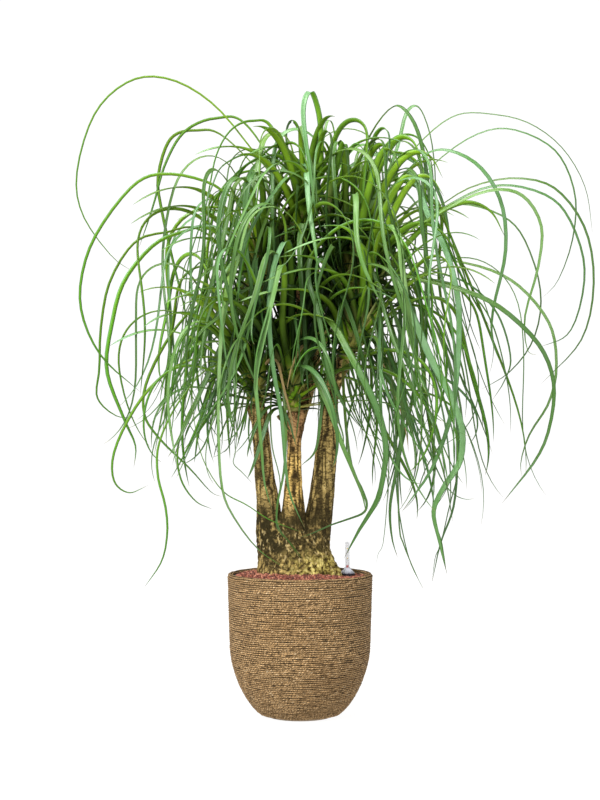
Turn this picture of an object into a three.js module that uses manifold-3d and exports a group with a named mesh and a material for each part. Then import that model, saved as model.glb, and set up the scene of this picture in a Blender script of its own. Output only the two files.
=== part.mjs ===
// A ponytail palm in a planter wound with seagrass rope, in millimetres, +Z up.
// The origin is the centre of the planter's base, the front of the plant looks along -Y.
// One woody trunk with a swollen foot divides into three stems and seven short branches.
// Each branch ends in a crown: a growing shoot with long strap leaves fused to it.
import * as THREE from 'three';
import { mergeVertices } from 'three/addons/utils/BufferGeometryUtils.js';
import Module from 'manifold-3d';

const wasm = await Module();
wasm.setup();

// Planter
const BASE_RADIUS = 75;
const SHOULDER_HEIGHT = 150;
const SHOULDER_RADIUS = 155;
const RIM_RADIUS = 160;
const RIM_HEIGHT = 314;
const BELLY_POWER = 1.58;
const ROPE = 4.6;
const SEAT_GAP = 0.3;
const SHELL_WALL = 5;
const SHELL_FLOOR = 10;
const LINER_WALL = 1.5;
const ROPE_START_HEIGHT = 4;
const ROPE_INSIDE_DEPTH = 6.5;
const AROUND = 28;

// Filling
const GRANULE_FLOOR = 286;
const GRANULES_AT_RIM = 303;
const GRANULES_AT_TRUNK = 317;
const GRANULE_BUMP = 2.6;
const GRANULE_RINGS = 6;
const GRANULES_AROUND = 44;
const LINER_TOP = 307;

// Water gauge, which stands in the filling beside the trunk
const GAUGE_X = 105;
const GAUGE_Y = 30;
const GAUGE_FLOOR = 96;
const GUIDE_RADIUS = 12;
const GUIDE_BORE = 10;
const GUIDE_TOP = 306;
const COLLAR_RADIUS = 16.9;
const COLLAR_TOP = 323;
const SIGHT_RADIUS = 5.5;
const SIGHT_BORE = 4;
const SIGHT_FOOT = 315;
const SIGHT_TOP = 380;
const FLOAT_RADIUS = 8.5;
const FLOAT_LENGTH = 42;
const ROD_RADIUS = 1.5;
const TIP_RADIUS = 2.8;
const TIP_FOOT = 319;
const TIP_TOP = 328;

// Foliage
const VIEW_DISTANCE = 3900;
const EYE_HEIGHT = 694;
const LEAVES_PER_CROWN = 23;
const LEAF_DRAWS = 12;
const TRACED_SEGMENTS = 8;
const FREE_SEGMENTS = 6;
const CORE_LENGTH = 92;
const CORE_FOOT_RADIUS = 11;
const CORE_TOP_RADIUS = 8;
const GOLDEN_ANGLE = 137.50776;
const CLEARANCE = 1;
const TRIES = 26;
const ROOT_ZONE = 130;
const FOLD_GUARD = 0.3;

const COLOURS = {
  shell: 0x8b7a62, rope: 0x9c7d52, liner: 0x3d4446, soil: 0x3a2a1f, granules: 0x9a4f42,
  bark: 0x7d6a43, leaf: 0x4c8a35, collar: 0xa9adba, clear: 0xdfe4e6, float: 0xf0eee6, red: 0xb8281c,
};

const rad = THREE.MathUtils.degToRad;
const vec = (x, y, z) => new THREE.Vector3(x, y, z);

// A repeatable stream of numbers from 0 to 1.
function draws(seed) {
  let state = seed;
  return () => {
    state = (1664525 * state + 1013904223) % 4294967296;
    return state / 4294967296;
  };
}

// Solids and meshes
function solidOf(geometry) {
  const bare = geometry.clone();
  bare.deleteAttribute('normal');
  bare.deleteAttribute('uv');
  const merged = mergeVertices(bare, 1e-4);
  return new wasm.Manifold(new wasm.Mesh({
    numProp: 3,
    vertProperties: merged.attributes.position.array,
    triVerts: new Uint32Array(merged.index.array),
  }));
}

function geometryOf(solid) {
  const mesh = solid.getMesh();
  const geometry = new THREE.BufferGeometry();
  geometry.setAttribute('position', new THREE.BufferAttribute(new Float32Array(mesh.vertProperties), 3));
  geometry.setIndex(new THREE.BufferAttribute(new Uint32Array(mesh.triVerts), 1));
  geometry.computeVertexNormals();
  return geometry;
}

function meshOf(name, geometry, color, roughness = 0.8, metalness = 0) {
  const material = new THREE.MeshStandardMaterial({ color, roughness, metalness });
  const mesh = new THREE.Mesh(geometry, material);
  mesh.name = name;
  return mesh;
}

// A closed skin over rings of equal count, from the first ring to the last, or to a pointed tip.
// Each quad is split from its first corner; the last side may be split the other way.
function loft(rings, tip = null, turnLastSplit = false) {
  const sides = rings[0].length;
  const points = rings.flat();
  const faces = [];
  for (let r = 0; r + 1 < rings.length; r++) {
    for (let i = 0; i < sides; i++) {
      const a = r * sides + i;
      const b = r * sides + (i + 1) % sides;
      if (turnLastSplit && i === sides - 1) faces.push(a, b, a + sides, b, b + sides, a + sides);
      else faces.push(a, b, b + sides, a, b + sides, a + sides);
    }
  }
  for (let i = 1; i + 1 < sides; i++) faces.push(0, i + 1, i);
  const last = (rings.length - 1) * sides;
  if (tip) {
    for (let i = 0; i < sides; i++) faces.push(last + i, last + (i + 1) % sides, points.length);
    points.push(tip);
  } else {
    for (let i = 1; i + 1 < sides; i++) faces.push(last, last + i, last + i + 1);
  }
  const geometry = new THREE.BufferGeometry().setFromPoints(points);
  geometry.setIndex(faces);
  return geometry;
}

// LatheGeometry turns about Y; this one turns about Z, its profile given as [radius, height] pairs.
function turned(profile, segments = AROUND) {
  const points = profile.map(([r, z]) => new THREE.Vector2(r, z));
  return new THREE.LatheGeometry(points, segments).rotateX(Math.PI / 2);
}

// A turned ring whose profile closes on itself.
const turnedRing = (profile, segments) => turned([...profile, profile[0]], segments);

// Planter: the outside is a straight flare above the shoulder and a superellipse below it.
function outsideRadius(z) {
  if (z >= SHOULDER_HEIGHT) {
    const share = (z - SHOULDER_HEIGHT) / (RIM_HEIGHT - SHOULDER_HEIGHT);
    return SHOULDER_RADIUS + (RIM_RADIUS - SHOULDER_RADIUS) * share;
  }
  const drop = (SHOULDER_HEIGHT - z) / SHOULDER_HEIGHT;
  const reach = Math.pow(1 - Math.pow(drop, BELLY_POWER), 1 / BELLY_POWER);
  return BASE_RADIUS + (SHOULDER_RADIUS - BASE_RADIUS) * reach;
}

const WALL_HEIGHTS = [SHELL_FLOOR, 28, 54, 84, 116, SHOULDER_HEIGHT];
const shellOutside = (z) => outsideRadius(z) - ROPE - SEAT_GAP;
const shellInside = (z) => shellOutside(z) - SHELL_WALL;
const linerOutside = (z) => shellInside(z) - SEAT_GAP;
const linerInside = (z) => linerOutside(z) - LINER_WALL;

function planterShell() {
  const top = RIM_HEIGHT - ROPE - SEAT_GAP;
  const outside = WALL_HEIGHTS.map((z) => [shellOutside(z), z]);
  const inside = WALL_HEIGHTS.map((z) => [shellInside(z), z]).reverse();
  return turned([
    [0, 0], [BASE_RADIUS - ROPE, 0], [shellOutside(ROPE_START_HEIGHT), ROPE_START_HEIGHT],
    ...outside, [shellOutside(top), top], [shellInside(top), top], ...inside, [0, SHELL_FLOOR],
  ]);
}

// The rope winding as one sleeve: up the outside, over the rim and a little way down inside.
function ropeWrap() {
  const z0 = ROPE_START_HEIGHT;
  const top = RIM_HEIGHT - ROPE - SEAT_GAP;
  const outside = WALL_HEIGHTS.map((z) => [outsideRadius(z), z]);
  const backing = WALL_HEIGHTS.map((z) => [shellOutside(z) + SEAT_GAP, z]).reverse();
  const end = RIM_HEIGHT - ROPE_INSIDE_DEPTH;
  const inner = shellInside(end) - SEAT_GAP;
  return turnedRing([
    [shellOutside(z0) + SEAT_GAP, z0], [outsideRadius(z0), z0], ...outside,
    [RIM_RADIUS, RIM_HEIGHT - 5], [RIM_RADIUS - 3, RIM_HEIGHT - 1], [RIM_RADIUS - 7, RIM_HEIGHT],
    [inner + 0.5, RIM_HEIGHT - 1], [inner - ROPE + 0.6, RIM_HEIGHT - 4],
    [inner - ROPE, end], [inner, end], [inner, top + SEAT_GAP],
    [shellOutside(top) + SEAT_GAP, top + SEAT_GAP], ...backing,
  ]);
}

function linerCup() {
  const foot = SHELL_FLOOR + SEAT_GAP;
  const heights = WALL_HEIGHTS.slice(1);
  const outside = heights.map((z) => [linerOutside(z), z]);
  const inside = heights.map((z) => [linerInside(z), z]).reverse();
  return turned([
    [0, foot], [linerOutside(SHELL_FLOOR) - 1, foot], ...outside,
    [linerOutside(LINER_TOP), LINER_TOP], [linerInside(LINER_TOP), LINER_TOP],
    ...inside, [linerInside(SHELL_FLOOR) - 2, foot + LINER_WALL], [0, foot + LINER_WALL],
  ]);
}

// Trunk: the foot is a lobed loft, and each stem and branch is a tapering tube with furrowed bark.
// Rows of the foot: height, centre x and y, half width, half depth.
const FOOT_ROWS = [
  [232, -4, -2, 44, 34], [262, -3, -2, 76, 60], [292, -4, -3, 92, 72], [317, -5.5, -3, 93.5, 70],
  [330, -7, -2, 90, 65], [348, -11.5, -1, 84.5, 61], [376, -15, 0, 78, 54], [404, -15, 0, 70, 42],
  [432, -15, -2, 52, 26],
];
const FOOT_SIDES = 20;

function trunkFoot(extra = 0) {
  const draw = draws(41);
  const rings = FOOT_ROWS.map(([z, cx, cy, rx, ry], row) => {
    const ring = [];
    for (let i = 0; i < FOOT_SIDES; i++) {
      const a = (i / FOOT_SIDES) * 2 * Math.PI;
      const lobe = 1 + 0.035 * Math.cos(5 * a + 0.7) + 0.05 * (draw() - 0.5) * (row > 2 ? 1 : 0);
      ring.push(vec(cx + (rx * lobe + extra) * Math.cos(a), cy + (ry * lobe + extra) * Math.sin(a), z));
    }
    return ring;
  });
  return loft(rings);
}

// Routes of the stems and branches: [x, y, z, radius] rows.
const STEMS = {
  left: [[-58, 2, 340, 34], [-64, 2, 385, 33], [-67, 0, 430, 29], [-71, -2, 474, 25],
    [-78, -5, 530, 22], [-83, -7, 584, 19.5], [-88, -8, 640, 18], [-91, -8, 676, 18]],
  middle: [[-14, -24, 340, 36], [-14, -22, 385, 34], [-14, -20, 430, 29], [-14, -20, 470, 24],
    [-14, -22, 520, 18.5], [-13, -22, 584, 15.5], [-13, -22, 640, 15.5], [-13, -24, 664, 17]],
  right: [[34, 4, 340, 36], [35, 4, 385, 33], [40, 4, 430, 31], [46, 4, 470, 28], [53, 5, 529, 26],
    [58, 6, 584, 24], [63, 6, 650, 20.5], [67, 6, 716, 18], [74, 4, 750, 17], [80, 0, 770, 17]],
};
const BRANCHES = {
  leftRear: [[-84, 0, 630, 13], [-92, 26, 690, 13], [-98, 48, 770, 12.5], [-92, 60, 850, 12.5],
    [-86, 62, 900, 13]],
  rear: [[-10, -8, 600, 12], [0, 30, 650, 13], [18, 70, 710, 13], [30, 92, 770, 13], [34, 98, 800, 13]],
  top: [[-12, -12, 610, 12], [-16, 10, 680, 12.5], [-8, 24, 780, 12.5], [2, 28, 900, 12.5],
    [8, 28, 1040, 13]],
  rightHigh: [[72, 8, 710, 14], [92, 24, 780, 13.5], [102, 30, 850, 13], [108, 32, 905, 13]],
  rightLow: [[74, -2, 735, 14], [90, -22, 760, 14], [99, -34, 778, 14]],
};
const STEM_SIDES = 10;
const BRANCH_SIDES = 7;

// A tube along rows of [x, y, z, radius], each ring square to the route, ribbed where asked.
function tube(rows, sides, rib, seed) {
  const draw = draws(seed);
  const centres = rows.map(([x, y, z]) => vec(x, y, z));
  const rings = rows.map(([, , , radius], i) => {
    const before = centres[Math.max(0, i - 1)];
    const after = centres[Math.min(rows.length - 1, i + 1)];
    const along = after.clone().sub(before).normalize();
    const across = vec(1, 0, 0).sub(along.clone().multiplyScalar(along.x)).normalize();
    const up = along.clone().cross(across);
    const ring = [];
    for (let s = 0; s < sides; s++) {
      const a = (s / sides) * 2 * Math.PI;
      const r = radius * (1 + rib * (s % 2 ? 0.5 : -0.5) + rib * (draw() - 0.5));
      const corner = centres[i].clone().addScaledVector(across, r * Math.cos(a));
      ring.push(corner.addScaledVector(up, r * Math.sin(a)));
    }
    return ring;
  });
  return loft(rings);
}

function trunkSolid() {
  let solid = solidOf(trunkFoot());
  Object.values(STEMS).forEach((rows, i) => {
    solid = solid.add(solidOf(tube(rows, STEM_SIDES, 0.1, 7 + i)));
  });
  Object.values(BRANCHES).forEach((rows, i) => {
    solid = solid.add(solidOf(tube(rows, BRANCH_SIDES, 0.05, 17 + i)));
  });
  return solid;
}

// Filling: soil with the fine roots in it, and a raised layer of pebbly granules on top.
function rootBall() {
  const foot = SHELL_FLOOR + SEAT_GAP + LINER_WALL + SEAT_GAP;
  const heights = WALL_HEIGHTS.slice(1);
  const inset = 0.6;
  const soil = solidOf(turned([
    [0, foot], [linerInside(SHELL_FLOOR) - 4, foot], ...heights.map((z) => [linerInside(z) - inset, z]),
    [linerInside(GRANULE_FLOOR) - inset, GRANULE_FLOOR], [0, GRANULE_FLOOR],
  ]));
  return soil.subtract(solidOf(trunkFoot(0.5))).subtract(gaugeHole());
}

// The granules climb from the rim to the trunk and lie a little lower round the gauge.
function granuleHeight(x, y, share) {
  const climbed = GRANULES_AT_TRUNK - (GRANULES_AT_TRUNK - GRANULES_AT_RIM) * (1 - share) ** 3;
  const fromGauge = Math.hypot(x - GAUGE_X, y - GAUGE_Y);
  return Math.min(climbed, GUIDE_TOP + 0.5 + 0.13 * Math.max(0, fromGauge - COLLAR_RADIUS));
}

function granuleLayer() {
  const draw = draws(97);
  const floor = GRANULE_FLOOR + SEAT_GAP;
  const rim = linerInside(GRANULE_FLOOR) - 1.2;
  const rings = [];
  for (let r = 0; r <= GRANULE_RINGS; r++) {
    const share = r / GRANULE_RINGS;
    const radius = rim * (1 - 0.62 * share ** 1.4);
    const ring = [];
    for (let i = 0; i < GRANULES_AROUND; i++) {
      const a = ((i + 0.5 * (r % 2)) / GRANULES_AROUND) * 2 * Math.PI;
      const [x, y] = [radius * Math.cos(a), radius * Math.sin(a)];
      const bump = r === 0 ? 0 : GRANULE_BUMP * (draw() * 2 - 1);
      ring.push(vec(x, y, granuleHeight(x, y, share) + bump));
    }
    rings.push(ring);
  }
  const below = rings[0].map((p) => vec(p.x, p.y, floor));
  const layer = solidOf(loft([below, ...rings]));
  return layer.subtract(solidOf(trunkFoot(0.5))).subtract(gaugeHole());
}

// Water gauge
const atGauge = (geometry) => geometry.translate(GAUGE_X, GAUGE_Y, 0);
const GAUGE_SIDES = 16;

function gaugeHole() {
  const wide = COLLAR_RADIUS + 0.5;
  const narrow = GUIDE_RADIUS + 0.4;
  return solidOf(atGauge(turned([
    [0, GAUGE_FLOOR - SEAT_GAP], [narrow, GAUGE_FLOOR - SEAT_GAP], [narrow, GUIDE_TOP - 2],
    [wide, GUIDE_TOP - 2], [wide, 330], [0, 330],
  ], GAUGE_SIDES)));
}

function gaugeParts() {
  const guide = turnedRing([
    [GUIDE_BORE, GAUGE_FLOOR], [GUIDE_RADIUS, GAUGE_FLOOR],
    [GUIDE_RADIUS, GUIDE_TOP], [GUIDE_BORE, GUIDE_TOP],
  ], GAUGE_SIDES);
  const neck = SIGHT_RADIUS + 0.35;
  const collar = turnedRing([
    [GUIDE_BORE, GUIDE_TOP + SEAT_GAP], [COLLAR_RADIUS - 1, GUIDE_TOP + SEAT_GAP],
    [COLLAR_RADIUS, GUIDE_TOP + 3], [12.2, GUIDE_TOP + 9.5],
    [neck + 1.5, COLLAR_TOP - 3], [neck + 1.2, COLLAR_TOP], [neck, COLLAR_TOP],
    [neck, SIGHT_FOOT - SEAT_GAP], [SIGHT_BORE + 0.6, SIGHT_FOOT - SEAT_GAP],
    [SIGHT_BORE + 0.6, SIGHT_FOOT - 2], [GUIDE_BORE, GUIDE_TOP + 5],
  ], GAUGE_SIDES);
  const sight = turned([
    [SIGHT_BORE, SIGHT_FOOT], [SIGHT_RADIUS, SIGHT_FOOT], [SIGHT_RADIUS, SIGHT_TOP - 1],
    [SIGHT_RADIUS - 1, SIGHT_TOP], [0, SIGHT_TOP], [0, SIGHT_TOP - 1.5], [SIGHT_BORE, SIGHT_TOP - 1.5],
    [SIGHT_BORE, SIGHT_FOOT],
  ], GAUGE_SIDES);
  const floatFoot = GAUGE_FLOOR + SEAT_GAP;
  const floatTop = floatFoot + FLOAT_LENGTH;
  const float = turned([
    [0, floatFoot], [FLOAT_RADIUS, floatFoot], [FLOAT_RADIUS, floatTop], [ROD_RADIUS, floatTop + 6],
    [ROD_RADIUS, TIP_FOOT - SEAT_GAP], [0, TIP_FOOT - SEAT_GAP],
  ], 12);
  const tip = turned([
    [0, TIP_FOOT], [TIP_RADIUS, TIP_FOOT], [TIP_RADIUS, TIP_TOP - 1.5], [0, TIP_TOP],
  ], 12);
  return { guide, collar, sight, float, tip };
}

// Crowns: each shoot carries on the stem or branch that bears it.
function crownOn(rows, seed) {
  const [end, before] = [rows.at(-1), rows.at(-2)].map(([x, y, z]) => vec(x, y, z));
  const along = end.clone().sub(before).normalize();
  return { foot: end.addScaledVector(along, SEAT_GAP + 0.1), along, seed };
}
const CROWNS = {
  front: crownOn(STEMS.middle, 3),
  left: crownOn(STEMS.left, 5),
  left_rear: crownOn(BRANCHES.leftRear, 8),
  top: crownOn(BRANCHES.top, 13),
  right_high: crownOn(BRANCHES.rightHigh, 21),
  right_low: crownOn(BRANCHES.rightLow, 34),
  rear: crownOn(BRANCHES.rear, 55),
};

// Leaves that stand out: crown, widest width, twist in degrees, and the points that the leaf passes.
// A point is [across, up, depth]: its place seen from the front, scaled to the planter's own plane,
// and how far it lies behind that plane.
const TRACED = [
  ['top', 7, 60, [[-100, 1238, -20], [-190, 1344, -40], [-284, 1399, -60], [-371, 1397, -70],
    [-449, 1328, -70], [-490, 1200, -60], [-479, 1104, -50], [-414, 1010, -40], [-359, 972, -30]]],
  ['top', 9, 90, [[-135, 1132, -60], [-198, 1171, -90], [-282, 1191, -110], [-355, 1175, -120],
    [-430, 1088, -120], [-473, 998, -115], [-482, 896, -110], [-438, 792, -100], [-347, 708, -90]]],
  ['top', 12, 40, [[-57, 1285, -5], [-104, 1308, -25], [-150, 1290, -45], [-183, 1237, -60],
    [-200, 1160, -70], [-215, 1080, -80], [-231, 997, -85]]],
  ['top', 8, 80, [[-112, 1293, 50], [-183, 1314, 60], [-253, 1285, 60], [-296, 1214, 50],
    [-323, 1121, 40], [-355, 1026, 30]]],
  ['top', 9, 70, [[-156, 1265, 90], [-229, 1287, 110], [-285, 1268, 120], [-312, 1185, 125],
    [-304, 1110, 125], [-277, 990, 120], [-253, 892, 110], [-242, 815, 100]]],
  ['top', 14, 30, [[-90, 1226, -50], [-166, 1214, -110], [-196, 1160, -135], [-218, 1088, -150],
    [-243, 1010, -155], [-253, 940, -160], [-253, 880, -160]]],
  ['top', 17, 20, [[-18, 1185, -60], [-64, 1142, -115], [-96, 1092, -140], [-120, 1040, -155],
    [-132, 980, -165], [-136, 905, -170]]],
  ['top', 12, 50, [[-40, 1246, -20], [-90, 1228, -70], [-137, 1196, -95], [-170, 1150, -105],
    [-190, 1090, -110]]],
  ['left_rear', 10, 60, [[-214, 1066, 40], [-293, 1063, 20], [-363, 1041, 5], [-418, 955, -5],
    [-438, 853, -10], [-441, 765, -15], [-446, 700, -20], [-406, 660, -20], [-360, 655, -20]]],
  ['left_rear', 13, 90, [[-190, 1066, -10], [-262, 1062, -40], [-324, 1033, -60], [-387, 955, -75],
    [-414, 860, -85], [-425, 760, -90], [-389, 657, -90], [-362, 594, -90], [-366, 543, -90]]],
  ['left_rear', 8, 120, [[-200, 915, 60], [-275, 850, 60], [-335, 740, 50], [-343, 665, 45],
    [-310, 610, 40], [-242, 543, 35], [-196, 492, 30], [-168, 481, 30]]],
  ['left', 8, 110, [[-176, 786, -50], [-259, 775, -80], [-330, 720, -95], [-381, 645, -105],
    [-411, 570, -110], [-408, 514, -110], [-375, 490, -105], [-332, 508, -100]]],
  ['left', 10, 80, [[-187, 770, -100], [-264, 694, -135], [-309, 602, -150], [-313, 530, -155],
    [-296, 460, -160], [-292, 400, -160], [-305, 338, -160], [-347, 276, -160]]],
  ['left', 8, 60, [[-187, 745, -20], [-245, 665, -35], [-269, 586, -45], [-262, 520, -50],
    [-230, 472, -50], [-190, 453, -50]]],
  ['left_rear', 15, 35, [[-115, 1000, -20], [-150, 985, -90], [-166, 906, -130], [-174, 830, -145],
    [-179, 730, -150], [-179, 598, -155], [-170, 493, -155], [-142, 430, -150], [-90, 363, -140],
    [-23, 318, -125]]],
  ['front', 8, 30, [[-37, 740, -90], [-31, 640, -125], [-35, 540, -130], [-50, 463, -128],
    [-48, 415, -122], [-18, 375, -114], [15, 332, -106]]],
  ['front', 15, 12, [[7, 914, -52], [13, 1035, -60], [7, 1084, -82], [-1, 1037, -105], [3, 953, -122],
    [9, 870, -132], [14, 770, -138], [19, 698, -140]]],
  ['front', 17, 25, [[-18, 860, -70], [-20, 1002, -86], [-32, 1044, -112], [-55, 998, -140],
    [-67, 925, -160], [-67, 841, -170], [-57, 750, -176], [-41, 662, -178], [-33, 562, -172],
    [-22, 486, -160], [13, 406, -145]]],
  ['front', 16, 30, [[-38, 848, -85], [-34, 960, -108], [-42, 992, -135], [-59, 925, -180],
    [-76, 850, -205], [-97, 745, -220], [-92, 668, -222], [-84, 579, -218], [-78, 510, -208],
    [-59, 445, -195]]],
  ['front', 14, 35, [[12, 848, -66], [22, 968, -80], [24, 1010, -108], [18, 960, -140], [37, 897, -160],
    [50, 830, -172], [62, 760, -180], [92, 690, -186], [132, 633, -188]]],
  ['front', 13, 45, [[20, 870, -50], [28, 975, -56], [44, 1010, -78], [68, 970, -104], [93, 925, -120],
    [115, 869, -132], [132, 810, -142], [150, 725, -150], [167, 639, -155]]],
  ['front', 13, 50, [[14, 790, -90], [32, 745, -128], [62, 681, -150], [92, 598, -165],
    [113, 547, -170], [137, 486, -172], [145, 445, -172]]],
  ['front', 17, 60, [[40, 870, -100], [76, 855, -150], [104, 805, -185], [138, 742, -205],
    [172, 668, -218], [188, 600, -222], [186, 545, -220], [170, 475, -212], [130, 408, -198],
    [96, 344, -185]]],
  ['right_high', 18, 70, [[165, 962, -70], [235, 900, -150], [286, 788, -185], [330, 705, -195],
    [356, 630, -200], [352, 560, -200], [318, 505, -195], [294, 451, -190], [305, 390, -188],
    [324, 308, -185]]],
  ['right_high', 5, 50, [[170, 1130, 70], [245, 1240, 80], [337, 1318, 80], [430, 1322, 70],
    [510, 1300, 60], [580, 1245, 50], [628, 1160, 40], [644, 1055, 30]]],
  ['right_high', 6, 60, [[190, 1100, -10], [285, 1205, -30], [379, 1274, -45], [463, 1290, -50],
    [560, 1244, -55], [604, 1150, -55], [600, 1050, -55], [568, 958, -50], [530, 916, -50]]],
  ['right_high', 7, 70, [[176, 1045, -50], [295, 1114, -85], [375, 1162, -95], [470, 1182, -100],
    [560, 1160, -100], [627, 1071, -95], [646, 950, -90], [619, 827, -80], [528, 727, -70]]],
  ['right_high', 8, 80, [[198, 1050, 45], [303, 1110, 55], [404, 1160, 60], [490, 1162, 60],
    [572, 1122, 60], [620, 1021, 60], [622, 930, 58], [590, 840, 55], [522, 809, 50]]],
  ['right_high', 9, 90, [[187, 1024, -90], [290, 1097, -135], [404, 1152, -155], [484, 1147, -160],
    [530, 1080, -160], [524, 987, -160], [495, 880, -155], [500, 805, -150], [526, 792, -148]]],
  ['right_high', 9, 60, [[210, 1065, 100], [290, 1108, 130], [370, 1124, 140], [467, 1084, 140],
    [515, 995, 140], [530, 905, 135], [510, 820, 130], [459, 754, 125], [396, 716, 120]]],
  ['right_high', 12, 90, [[190, 970, -110], [295, 952, -165], [391, 924, -185], [463, 880, -190],
    [530, 809, -190], [558, 730, -185], [550, 640, -180], [520, 565, -175], [442, 464, -165]]],
  ['right_high', 9, 100, [[264, 997, 80], [370, 994, 95], [471, 953, 100], [547, 865, 95],
    [564, 771, 90], [548, 690, 85], [505, 619, 80], [486, 560, 78], [488, 522, 78]]],
  ['right_high', 11, 60, [[165, 1110, -55], [245, 1210, -100], [310, 1245, -115], [390, 1212, -125],
    [442, 1130, -130], [452, 1020, -130], [425, 895, -128], [423, 826, -125], [446, 764, -120]]],
  ['right_high', 14, 30, [[112, 1060, 15], [124, 1189, 15], [156, 1281, 0], [206, 1341, -20],
    [245, 1314, -40], [270, 1245, -55], [284, 1147, -65], [297, 1040, -70], [312, 936, -72]]],
  ['right_high', 12, 40, [[150, 1080, 60], [211, 1240, 75], [234, 1325, 80], [262, 1338, 84],
    [286, 1282, 90], [297, 1205, 92], [299, 1123, 92], [303, 1024, 92]]],
  ['right_high', 16, 50, [[170, 1120, -20], [212, 1190, -60], [250, 1185, -95], [282, 1101, -115],
    [322, 1020, -128], [347, 920, -140], [350, 840, -145], [345, 750, -148], [330, 653, -150],
    [290, 543, -145], [223, 447, -135]]],
  ['right_low', 10, 70, [[165, 850, -70], [200, 790, -100], [222, 710, -110], [226, 630, -112],
    [212, 540, -110], [198, 460, -108], [202, 392, -104], [215, 346, -100]]],
  ['right_high', 9, 80, [[200, 945, 50], [270, 900, 70], [318, 800, 80], [341, 694, 82], [346, 570, 80],
    [338, 461, 76], [309, 379, 72], [290, 290, 70]]],
  ['right_high', 8, 60, [[235, 985, 150], [319, 936, 180], [366, 850, 190], [392, 755, 190],
    [385, 670, 185], [350, 618, 180], [307, 590, 175]]],
  ['right_high', 7, 60, [[225, 990, 5], [300, 975, -5], [374, 947, -10], [435, 882, -12],
    [463, 790, -12], [450, 737, -12], [421, 691, -12]]],
  ['rear', 6, 60, [[150, 880, 120], [186, 800, 130], [202, 690, 130], [208, 580, 125], [216, 460, 118],
    [240, 345, 110], [274, 274, 105]]],
  ['top', 14, 0, [[36, 1160, 2], [46, 1240, -6], [43, 1316, -24], [27, 1370, -54], [13, 1362, -88],
    [7, 1325, -108], [13, 1262, -124], [24, 1189, -134], [34, 1101, -140]]],
  ['right_high', 15, 16, [[98, 1040, -18], [101, 1120, -22], [98, 1220, -28], [85, 1264, -50],
    [73, 1240, -72], [74, 1189, -84], [80, 1120, -92], [86, 1050, -96], [92, 980, -100]]],
  ['top', 9, 20, [[30, 1180, 45], [50, 1262, 62], [60, 1306, 70], [72, 1300, 80], [80, 1245, 88],
    [86, 1160, 92]]],
  ['top', 10, 20, [[-14, 1190, 50], [-30, 1266, 66], [-24, 1303, 76], [-8, 1300, 88], [8, 1250, 98],
    [14, 1180, 102]]],
];

// A point of the front view, carried to its own depth.
function placed([across, up, depth], shift) {
  const y = depth + shift;
  const nearer = (VIEW_DISTANCE + y) / VIEW_DISTANCE;
  return vec(across * nearer, y, EYE_HEIGHT + (up - EYE_HEIGHT) * nearer);
}

// Points of a uniform Catmull-Rom curve through all the given points.
function smoothThrough(points, perSpan) {
  const first = points[0].clone().multiplyScalar(2).sub(points[1]);
  const last = points.at(-1).clone().multiplyScalar(2).sub(points.at(-2));
  const all = [first, ...points, last];
  const made = [];
  for (let i = 1; i + 2 < all.length; i++) {
    for (let k = 0; k < perSpan; k++) {
      const t = k / perSpan;
      const weights = [
        -t * t * t + 2 * t * t - t, 3 * t * t * t - 5 * t * t + 2,
        -3 * t * t * t + 4 * t * t + t, t * t * t - t * t,
      ];
      const point = vec(0, 0, 0);
      weights.forEach((w, j) => point.addScaledVector(all[i - 1 + j], w / 2));
      made.push(point);
    }
  }
  made.push(points.at(-1).clone());
  return made;
}

function shootPoint(crown, share) {
  return crown.foot.clone().addScaledVector(crown.along, CORE_LENGTH * share);
}

// Each try moves a traced leaf nearer or farther, and turns a free leaf about its shoot.
function tweak(attempt) {
  const side = attempt % 2 ? 1 : -1;
  return side * Math.ceil(attempt / 2);
}

function tracedLeaf([crownName, width, twist, points], attempt) {
  const crown = CROWNS[crownName];
  const shift = tweak(attempt) * 7;
  const through = points.map((point) => placed(point, shift));
  const { x, y, z } = through[0].clone().sub(crown.foot);
  const rise = Math.atan2(z, Math.hypot(x, y));
  const root = shootPoint(crown, 0.15 + 0.7 * Math.max(0, Math.min(1, rise / (Math.PI / 2))));
  const spine = smoothThrough([root, ...through], 8);
  const middle = spine[Math.floor(spine.length * 0.45)];
  const facing = vec(middle.x - root.x, middle.y - root.y, 0).normalize();
  return { spine, facing, width, twist: rad(twist), segments: TRACED_SEGMENTS };
}

// The lowest height that a free leaf hangs to: lowest at the right, higher at the left and near the
// stems, and highest where a leaf of an upper crown hangs before them.
function fringeHeight(p, share, crown) {
  const side = 450 - 35 * Math.tanh((p.x - 20) / 120) + 230 * share;
  const middle = 160 * (1 - 0.5 * share) * Math.exp(-((p.x / 150) ** 2));
  const before = p.y < -40 ? 0.8 * Math.max(0, crown.foot.z - 700) * Math.exp(-((p.x / 210) ** 2)) : 0;
  return side + middle + before;
}

// The rounded outline that the free leaves keep within. A short leaf keeps nearer to the stems.
const REACH = { centre: [70, 0, 800], half: [565, 455, 520] };
function withinCrown(p, reach) {
  const [x, y, z] = p.toArray().map((v, i) => (v - REACH.centre[i]) / REACH.half[i]);
  return (x * x + y * y) / (reach * reach) + Math.max(0, z) ** 2 < 1;
}

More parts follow.
